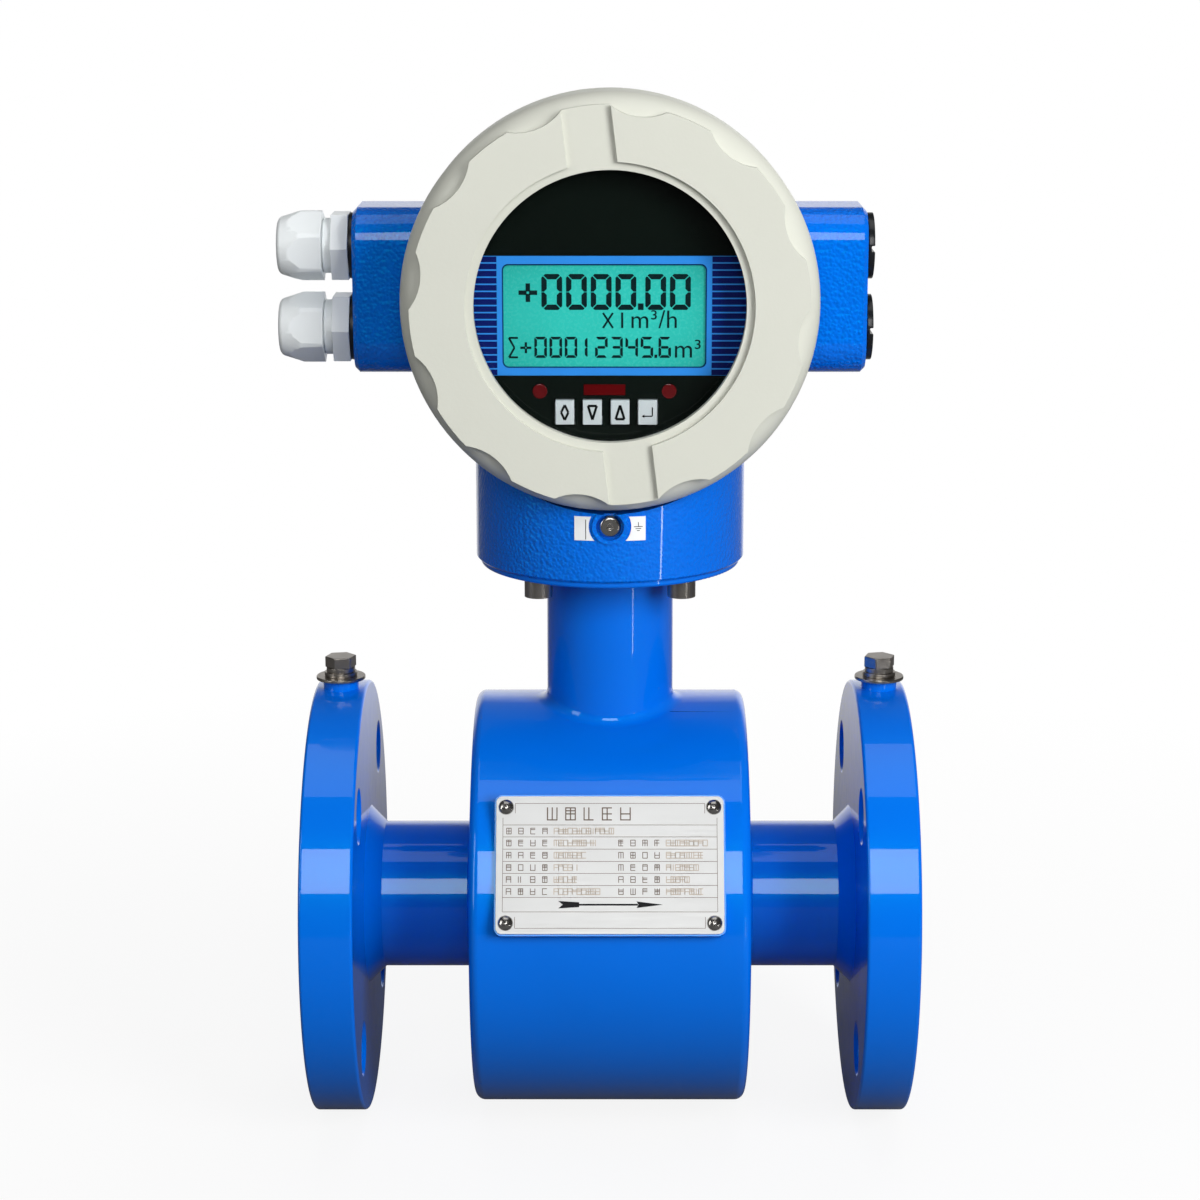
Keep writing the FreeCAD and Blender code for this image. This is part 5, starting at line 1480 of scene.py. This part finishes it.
@dataclass
class Display:
    """Display panel: film, striped band, lit screen and lamps.

    Args:
        middle: the screen's centre in X and Z, millimetres.
        screen: the lit area's width and height.
        film: thickness of a print.
        band_inner: X of the striped band's two inner edges.
        stripe_count: stripes on each side.
        stripe_pitch: from one stripe to the next.
        stripe_height: of a stripe.
        stripe_lift: of the stripes' middle plane before the bezel.
        rim_gap: from the stripes' ends to the panel's edge.
        large: digits of the flow.
        small: digits of the total.
    """

    middle: Point = (-1.9, 223.5)
    screen: Point = (70.4, 36.2)
    film: float = 0.04
    band_inner: Point = (-38.6, 34.8)
    stripe_count: int = 17
    stripe_pitch: float = 2.42
    stripe_height: float = 1.9
    stripe_lift: float = 0.06
    rim_gap: float = 0.8
    large: SegmentFace = SegmentFace(7.1, 12.3, 1.85, 0.22, 1.3, 8.42)
    small: SegmentFace = SegmentFace(4.3, 7.3, 0.95, 0.14, 0.6, 5.2)

    def build(self, shop: Workshop) -> None:
        """Dress the panel and draw its signs."""
        shop.soften("display_panel", PANEL_FILM, 0.2)
        shop.soften("display_bezel", BEZEL_FILM, 0.1)
        shop.soften("lcd_module", self.screen_finish(), 0.1)
        shop.soften("status_leds", LAMP, 0.35, 3)
        shop.soften("indicator_window", RED_WINDOW, 0.1)
        self.build_stripes(shop)
        self.build_frame(shop)
        self.build_readings(shop)

    def screen_finish(self) -> LitScreen:
        """The lit screen's finish, centred on the screen."""
        middle = tuple(v * MM for v in self.middle)
        half = tuple(v * MM / 2 for v in self.screen)
        return LitScreen("lit_screen", "screen_teal", (0.024, 0.40, 0.345), middle, half)

    def sheet(self, depth: float) -> Matrix:
        """Matrix from the screen's centre at a depth in Y, metres."""
        place = Vector((self.middle[0] * MM, depth, self.middle[1] * MM))
        return sheet_matrix(place, FRONT_ACROSS, FRONT_UP)

    def build_stripes(self, shop: Workshop) -> None:
        """Navy bars each side of the screen, out to the band's round ends."""
        low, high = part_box("display_bezel")
        panel_low, panel_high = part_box("display_panel")
        tree = bars_to_a_circle(STRIPE_FILM)
        centre = (panel_low.z + panel_high.z) / 2
        rim = (panel_high.x - panel_low.x) / 2 - self.rim_gap * MM
        span = (self.stripe_count - 1) * self.stripe_pitch * MM
        first = (low.z + high.z) / 2 - span / 2
        for side, edge, name in zip((-1.0, 1.0), self.band_inner, ("left", "right")):
            mesh = tree.grow(
                Count=self.stripe_count, Start=(0.0, low.y - self.stripe_lift * MM, first),
                Step=(0.0, 0.0, self.stripe_pitch * MM), Centre=centre, Rim=rim,
                Edge=abs(edge) * MM, Side=side, Height=self.stripe_height * MM,
                Depth=self.film * MM * 2,
            )
            shop.add(f"band_stripes_{name}", mesh, STRIPE_FILM, "meter")

    def screen_edge(self, inset: float, radius: float) -> Outline:
        """The lit area's outline, drawn in by an inset, with round corners."""
        half_x, half_z = (size / 2 - inset for size in self.screen)
        return rounded(-half_x, -half_z, half_x, half_z, radius)

    def build_frame(self, shop: Workshop) -> None:
        """The blue frame with its round corners, and its dark rim."""
        low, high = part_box("display_bezel")
        left, right = (x - self.middle[0] for x in self.band_inner)
        bottom, top = (z / MM - self.middle[1] for z in (low.z, high.z))
        outer = rounded(left, bottom + 0.25, right, top - 0.25, 0.3)
        plate = self.sheet(low.y)
        frame = window_from(outer, self.screen_edge(0.3, 2.1), self.film * 2)
        shop.add("screen_frame", frame, BEZEL_FILM, "meter", plate)
        rim = window_from(self.screen_edge(0.15, 2.2), self.screen_edge(0.75, 1.8), 0.05)
        shop.add("screen_rim", rim, BORDER_FILM, "meter", plate)

    def build_readings(self, shop: Workshop) -> None:
        """What the screen shows: the flow with its factor and unit, and the total."""
        glass = self.sheet(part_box("lcd_module")[0].y)
        drawn = (
            (self.large.number("0000.00"), -21.5, 2.0),
            (self.large.plus(), -26.1, 7.9),
            (self.small.number("00012345.6"), -24.0, -14.5),
            (self.small.plus(), -26.9, -11.0),
            (self.sum_sign(), -33.0, -14.5),
            (self.times_sign(), -0.8, -4.2),
        )
        rows = [outline for sign, x, y in drawn for outline in shifted(sign, x, y)]
        shop.add("screen_digits", solid_from(rows, self.film), SEGMENT_INK, "meter", glass)
        for text, height, x, y, name in (
            ("1", 5.4, 4.1, -4.2, "factor"),
            ("m³/h", 6.1, 8.7, -4.2, "flow_unit"),
            ("m³", 6.2, 23.6, -14.4, "volume_unit"),
        ):
            place = glass @ Matrix.Translation((x * MM, y * MM, self.film * MM / 2))
            mesh = shop.lettering(text, height, self.film)
            shop.add(f"screen_{name}", mesh, SEGMENT_INK, "meter", place)

    def sum_sign(self) -> list[Outline]:
        """The sum sign before the total."""
        corners = [(3.4, 6.9), (0.3, 6.9), (2.2, 3.5), (0.3, 0.2), (3.4, 0.2)]
        return polyline(corners, 0.7)

    def times_sign(self) -> list[Outline]:
        """The cross before the factor."""
        return [stroke((0.3, 0.0), (3.7, 5.2), 0.7), stroke((3.7, 0.0), (0.3, 5.2), 0.7)]


@dataclass
class Keypad:
    """The four keys under the screen, each on its own body.

    Args:
        film: thickness of a sign, millimetres.
        flatness: how deep a key's front face may be.
        keys: the keys' nodes, from the left.
    """

    film: float = 0.04
    flatness: float = 0.01
    keys: tuple[str, ...] = ("menu_key", "down_key", "up_key", "enter_key")

    def build(self, shop: Workshop) -> None:
        """Dress each key and draw its sign."""
        signs = (self.diamond(), self.down(), self.up(), self.enter())
        for key, sign in zip(self.keys, signs):
            shop.soften(key, KEY_PLASTIC, 0.35, 3)
            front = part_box(key)[0].y
            vertices = [v.co for v in shop.frame["nodes"][key].data.vertices]
            face = [v for v in vertices if v.y < front + self.flatness * MM]
            middle_x = (min(v.x for v in face) + max(v.x for v in face)) / 2
            middle_z = (min(v.z for v in face) + max(v.z for v in face)) / 2
            place = sheet_matrix(Vector((middle_x, front, middle_z)), FRONT_ACROSS, FRONT_UP)
            body = shop.body_of(key)
            shop.add(f"{key}_sign", solid_from(sign, self.film), KEY_INK, body, place)

    def diamond(self) -> list[Outline]:
        """An open diamond."""
        return polyline([(0, -2.6), (1.25, 0), (0, 2.6), (-1.25, 0)], 0.8, True)

    def down(self) -> list[Outline]:
        """An open triangle, point down."""
        return polyline([(-1.5, 2.3), (1.5, 2.3), (0, -2.5)], 0.85, True)

    def up(self) -> list[Outline]:
        """An open triangle, point up."""
        return polyline([(-1.5, -2.3), (1.5, -2.3), (0, 2.5)], 0.85, True)

    def enter(self) -> list[Outline]:
        """The corner of a return arrow, with its small head."""
        corner = polyline([(1.6, 1.8), (1.6, -1.3), (-1.7, -1.3)], 0.42)
        return corner + [[(-2.1, -1.3), (-1.1, -1.9), (-1.1, -0.7)]]


class Glands:
    """The two cable glands: bodies, washers, nuts and inserts."""

    def build(self, shop: Workshop) -> None:
        """Dress the glands."""
        shop.soften("gland_bodies", LIGHT_NYLON, 0.5, 3)
        shop.soften("gland_washers", SEAL, 0.4)
        for side in ("upper", "lower"):
            shop.soften(f"{side}_gland_nut", LIGHT_NYLON, 0.7, 3)
            shop.soften(f"{side}_gland_insert", SEAL, 0.3)


@dataclass
class Boards:
    """The circuit boards and the terminals, with small parts soldered on.

    Args:
        area: width and height of the main board's parts, millimetres.
        above: how far their middle is above the board's.
        depth: height of the tallest part.
    """

    area: Point = (52.0, 34.0)
    above: float = 12.0
    depth: float = 1.6

    def build(self, shop: Workshop) -> None:
        """Dress the boards and grow their parts."""
        for node in ("display_board", "main_board", "terminal_board"):
            shop.paint(node, BOARD)
        shop.paint("board_posts", BRASS)
        shop.paint("terminal_block", TERMINAL)
        shop.paint("terminal_screws", STEEL_FRONT)
        low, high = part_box("main_board")
        middle = (low + high) / 2
        mesh = parts_on_a_board(CHIP).grow(
            Width=self.area[0] * MM, Tall=self.area[1] * MM, Columns=8, Rows=6,
            Depth=self.depth * MM, Seed=4,
        )
        across, up = Vector((-1, 0, 0)), Vector((0, 0, 1))
        place = sheet_matrix(Vector((0, high.y, middle.z + self.above * MM)), across, up)
        shop.add("main_board_parts", mesh, CHIP, "meter", place)


@dataclass(frozen=True)
class SoftBox:
    """A rectangular soft lamp.

    Args:
        name: the lamp's name.
        place: its centre, metres.
        size: its width and height, metres.
        power: watts.
        mirrored: whether gloss shows it.
        target: what it looks at.
    """

    name: str
    place: Place
    size: Point
    power: float
    mirrored: bool = True
    target: Place = (0.0, 0.0, 0.1)


LAMPS = (
    SoftBox("front_box", (0.0, -1.3, 0.76), (0.55, 0.6), 5.2),
    SoftBox("right_box", (0.95, -1.15, 0.62), (0.7, 0.9), 24.5, False),
    SoftBox("left_box", (-1.2, -0.75, 0.55), (0.35, 0.9), 2.9),
    SoftBox("top_box", (0.0, -0.1, 1.5), (1.1, 0.9), 3.0),
    SoftBox("back_box", (0.25, 1.35, 0.6), (1.3, 0.9), 15.0, False),
    SoftBox("edge_strip", (0.42, -0.47, -0.01), (0.012, 0.1), 0.045, True, (0.0, 0.0, -0.01)),
)
WHITE = (1.0, 1.0, 1.0, 1.0)


def ray_kinds(tree: bpy.types.NodeTree) -> tuple[Wire, Wire, Wire]:
    """Tell a tree's rays apart.

    Args:
        tree: the tree of a material or a world.

    Returns:
        Wires that are one for rays straight from the camera, for those and the ones
        passed on by glass, and for mirrored ones.
    """
    rays = add_node(tree, "ShaderNodeLightPath")
    straight, passed, mirrored = (
        Wire(tree, rays.outputs[f"Is {kind} Ray"]) for kind in ("Camera", "Transmission", "Glossy")
    )
    return straight, straight.at_least(passed), mirrored


@dataclass
class Studio:
    """Camera, pale floor, white surroundings and soft lamps.

    Args:
        floor_height: of the floor, metres.
        floor_half: half its width.
        lens: the camera's focal length, millimetres.
        sensor: width of the camera's sensor, millimetres.
        shift: the camera's sideways shift, as a share of the sensor.
        camera_place: where the camera stands.
        camera_tilt: degrees up from looking straight down.
    """

    floor_height: float = -0.080
    floor_half: float = 12.0
    lens: float = 85.29
    sensor: float = 36.0
    shift: float = -0.00833
    camera_place: Place = (0.0, -1.0112, 0.3561)
    camera_tilt: float = 76.48

    def build(self) -> None:
        """Set up everything that isn't the meter."""
        self.build_camera()
        self.build_floor()
        self.build_world()
        for lamp in LAMPS:
            self.add_lamp(lamp)
        bpy.context.scene.view_settings.view_transform = "Standard"

    def build_camera(self) -> None:
        """Camera a metre in front, looking a little down."""
        data = bpy.data.cameras.new("camera")
        data.lens = self.lens
        data.sensor_width = self.sensor
        data.shift_x = self.shift
        data.clip_start, data.clip_end = 0.05, 60.0
        camera = bpy.data.objects.new("camera", data)
        camera.location = self.camera_place
        camera.rotation_euler = (math.radians(self.camera_tilt), 0.0, 0.0)
        bpy.context.scene.collection.objects.link(camera)
        bpy.context.scene.camera = camera

    def build_floor(self) -> None:
        """A white floor with a soft shadow near the meter."""
        made = bmesh.new()
        bmesh.ops.create_grid(made, x_segments=1, y_segments=1, size=self.floor_half)
        data = bpy.data.meshes.new("floor")
        made.to_mesh(data)
        made.free()
        data.transform(Matrix.Translation((0, 0, self.floor_height)))
        data.materials.append(self.floor_material())
        floor = bpy.data.objects.new("floor", data)
        bpy.context.scene.collection.objects.link(floor)

    def floor_material(self) -> bpy.types.Material:
        """White to look at, matt near the meter, and dark to what it would light up.

        Returns:
            The material.
        """
        material = bpy.data.materials.new("white_floor")
        material.use_nodes = True
        tree = material.node_tree
        tree.nodes.clear()
        lit = add_node(tree, "ShaderNodeEmission", {}, {"Color": WHITE, "Strength": 1.0})
        straight, seen, mirrored = ray_kinds(tree)
        place = add_node(tree, "ShaderNodeTexCoord").outputs["Object"]
        spot = add_node(tree, "ShaderNodeSeparateXYZ", {}, {0: place})
        x, y = (Wire(tree, spot.outputs[i]) for i in (0, 1))
        far = ((x * x + y * y - 0.03) * 3.0).clamped()
        # Gloss mirrors it as white only in a narrow wedge behind the meter.
        beyond = ((y * y * 0.3 - x * x) * 6.0).clamped() * (y * 8.0).clamped()
        tone = add_node(
            tree, "ShaderNodeMix", {"data_type": "RGBA"},
            {"Factor": straight, "A": (0.1, 0.1, 0.1, 1.0), "B": (0.8, 0.8, 0.8, 1.0)},
        )
        matt = add_node(
            tree, "ShaderNodeBsdfDiffuse", {}, {"Color": find_socket(tone.outputs, "Result")}
        )
        share = seen * (0.88 + far * 0.12) + mirrored * (0.02 + beyond * 0.9)
        mixed = add_node(
            tree, "ShaderNodeMixShader", {}, {0: share, 1: matt.outputs[0], 2: lit.outputs[0]}
        )
        add_node(tree, "ShaderNodeOutputMaterial", {}, {"Surface": mixed.outputs[0]})
        return material

    def build_world(self) -> None:
        """White to look at, and a weak light that gloss sees brighter low down behind."""
        world = bpy.data.worlds.new("studio")
        bpy.context.scene.world = world
        world.use_nodes = True
        tree = world.node_tree
        tree.nodes.clear()
        _, seen, mirrored = ray_kinds(tree)
        way = add_node(tree, "ShaderNodeTexCoord").outputs["Generated"]
        split = add_node(tree, "ShaderNodeSeparateXYZ", {}, {0: way})
        behind, height = (Wire(tree, split.outputs[i]) for i in (1, 2))
        back = (behind * 5.0 - 3.6).clamped()
        low = (1.8 - height * 4.0).clamped()
        mirror_level = back * low * 0.9 + 0.04
        strength = seen + (1 - seen) * (mirrored * mirror_level + (1 - mirrored) * 0.1)
        light = add_node(
            tree, "ShaderNodeBackground", {}, {"Color": WHITE, "Strength": strength}
        )
        add_node(tree, "ShaderNodeOutputWorld", {}, {"Surface": light.outputs[0]})

    def add_lamp(self, box: SoftBox) -> None:
        """Hang up a soft box."""
        data = bpy.data.lights.new(box.name, "AREA")
        data.shape = "RECTANGLE"
        data.size, data.size_y = box.size
        data.energy = box.power
        lamp = bpy.data.objects.new(box.name, data)
        lamp.location = box.place
        lamp.visible_glossy = box.mirrored
        way = Vector(box.target) - Vector(box.place)
        lamp.rotation_euler = way.to_track_quat("-Z", "Y").to_euler()
        bpy.context.scene.collection.objects.link(lamp)


def main() -> None:
    """Dress the flow meter, piece by piece."""
    logging.basicConfig(level=logging.INFO, format="%(message)s")
    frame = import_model()
    shop = Workshop(frame)
    for part in (
        Sensor(), Nameplate(), Converter(), Covers(), Display(), Keypad(), Glands(), Boards()
    ):
        LOG.info("building %s", type(part).__name__)
        part.build(shop)
    Studio().build()


if __name__ == "__main__":
    main()
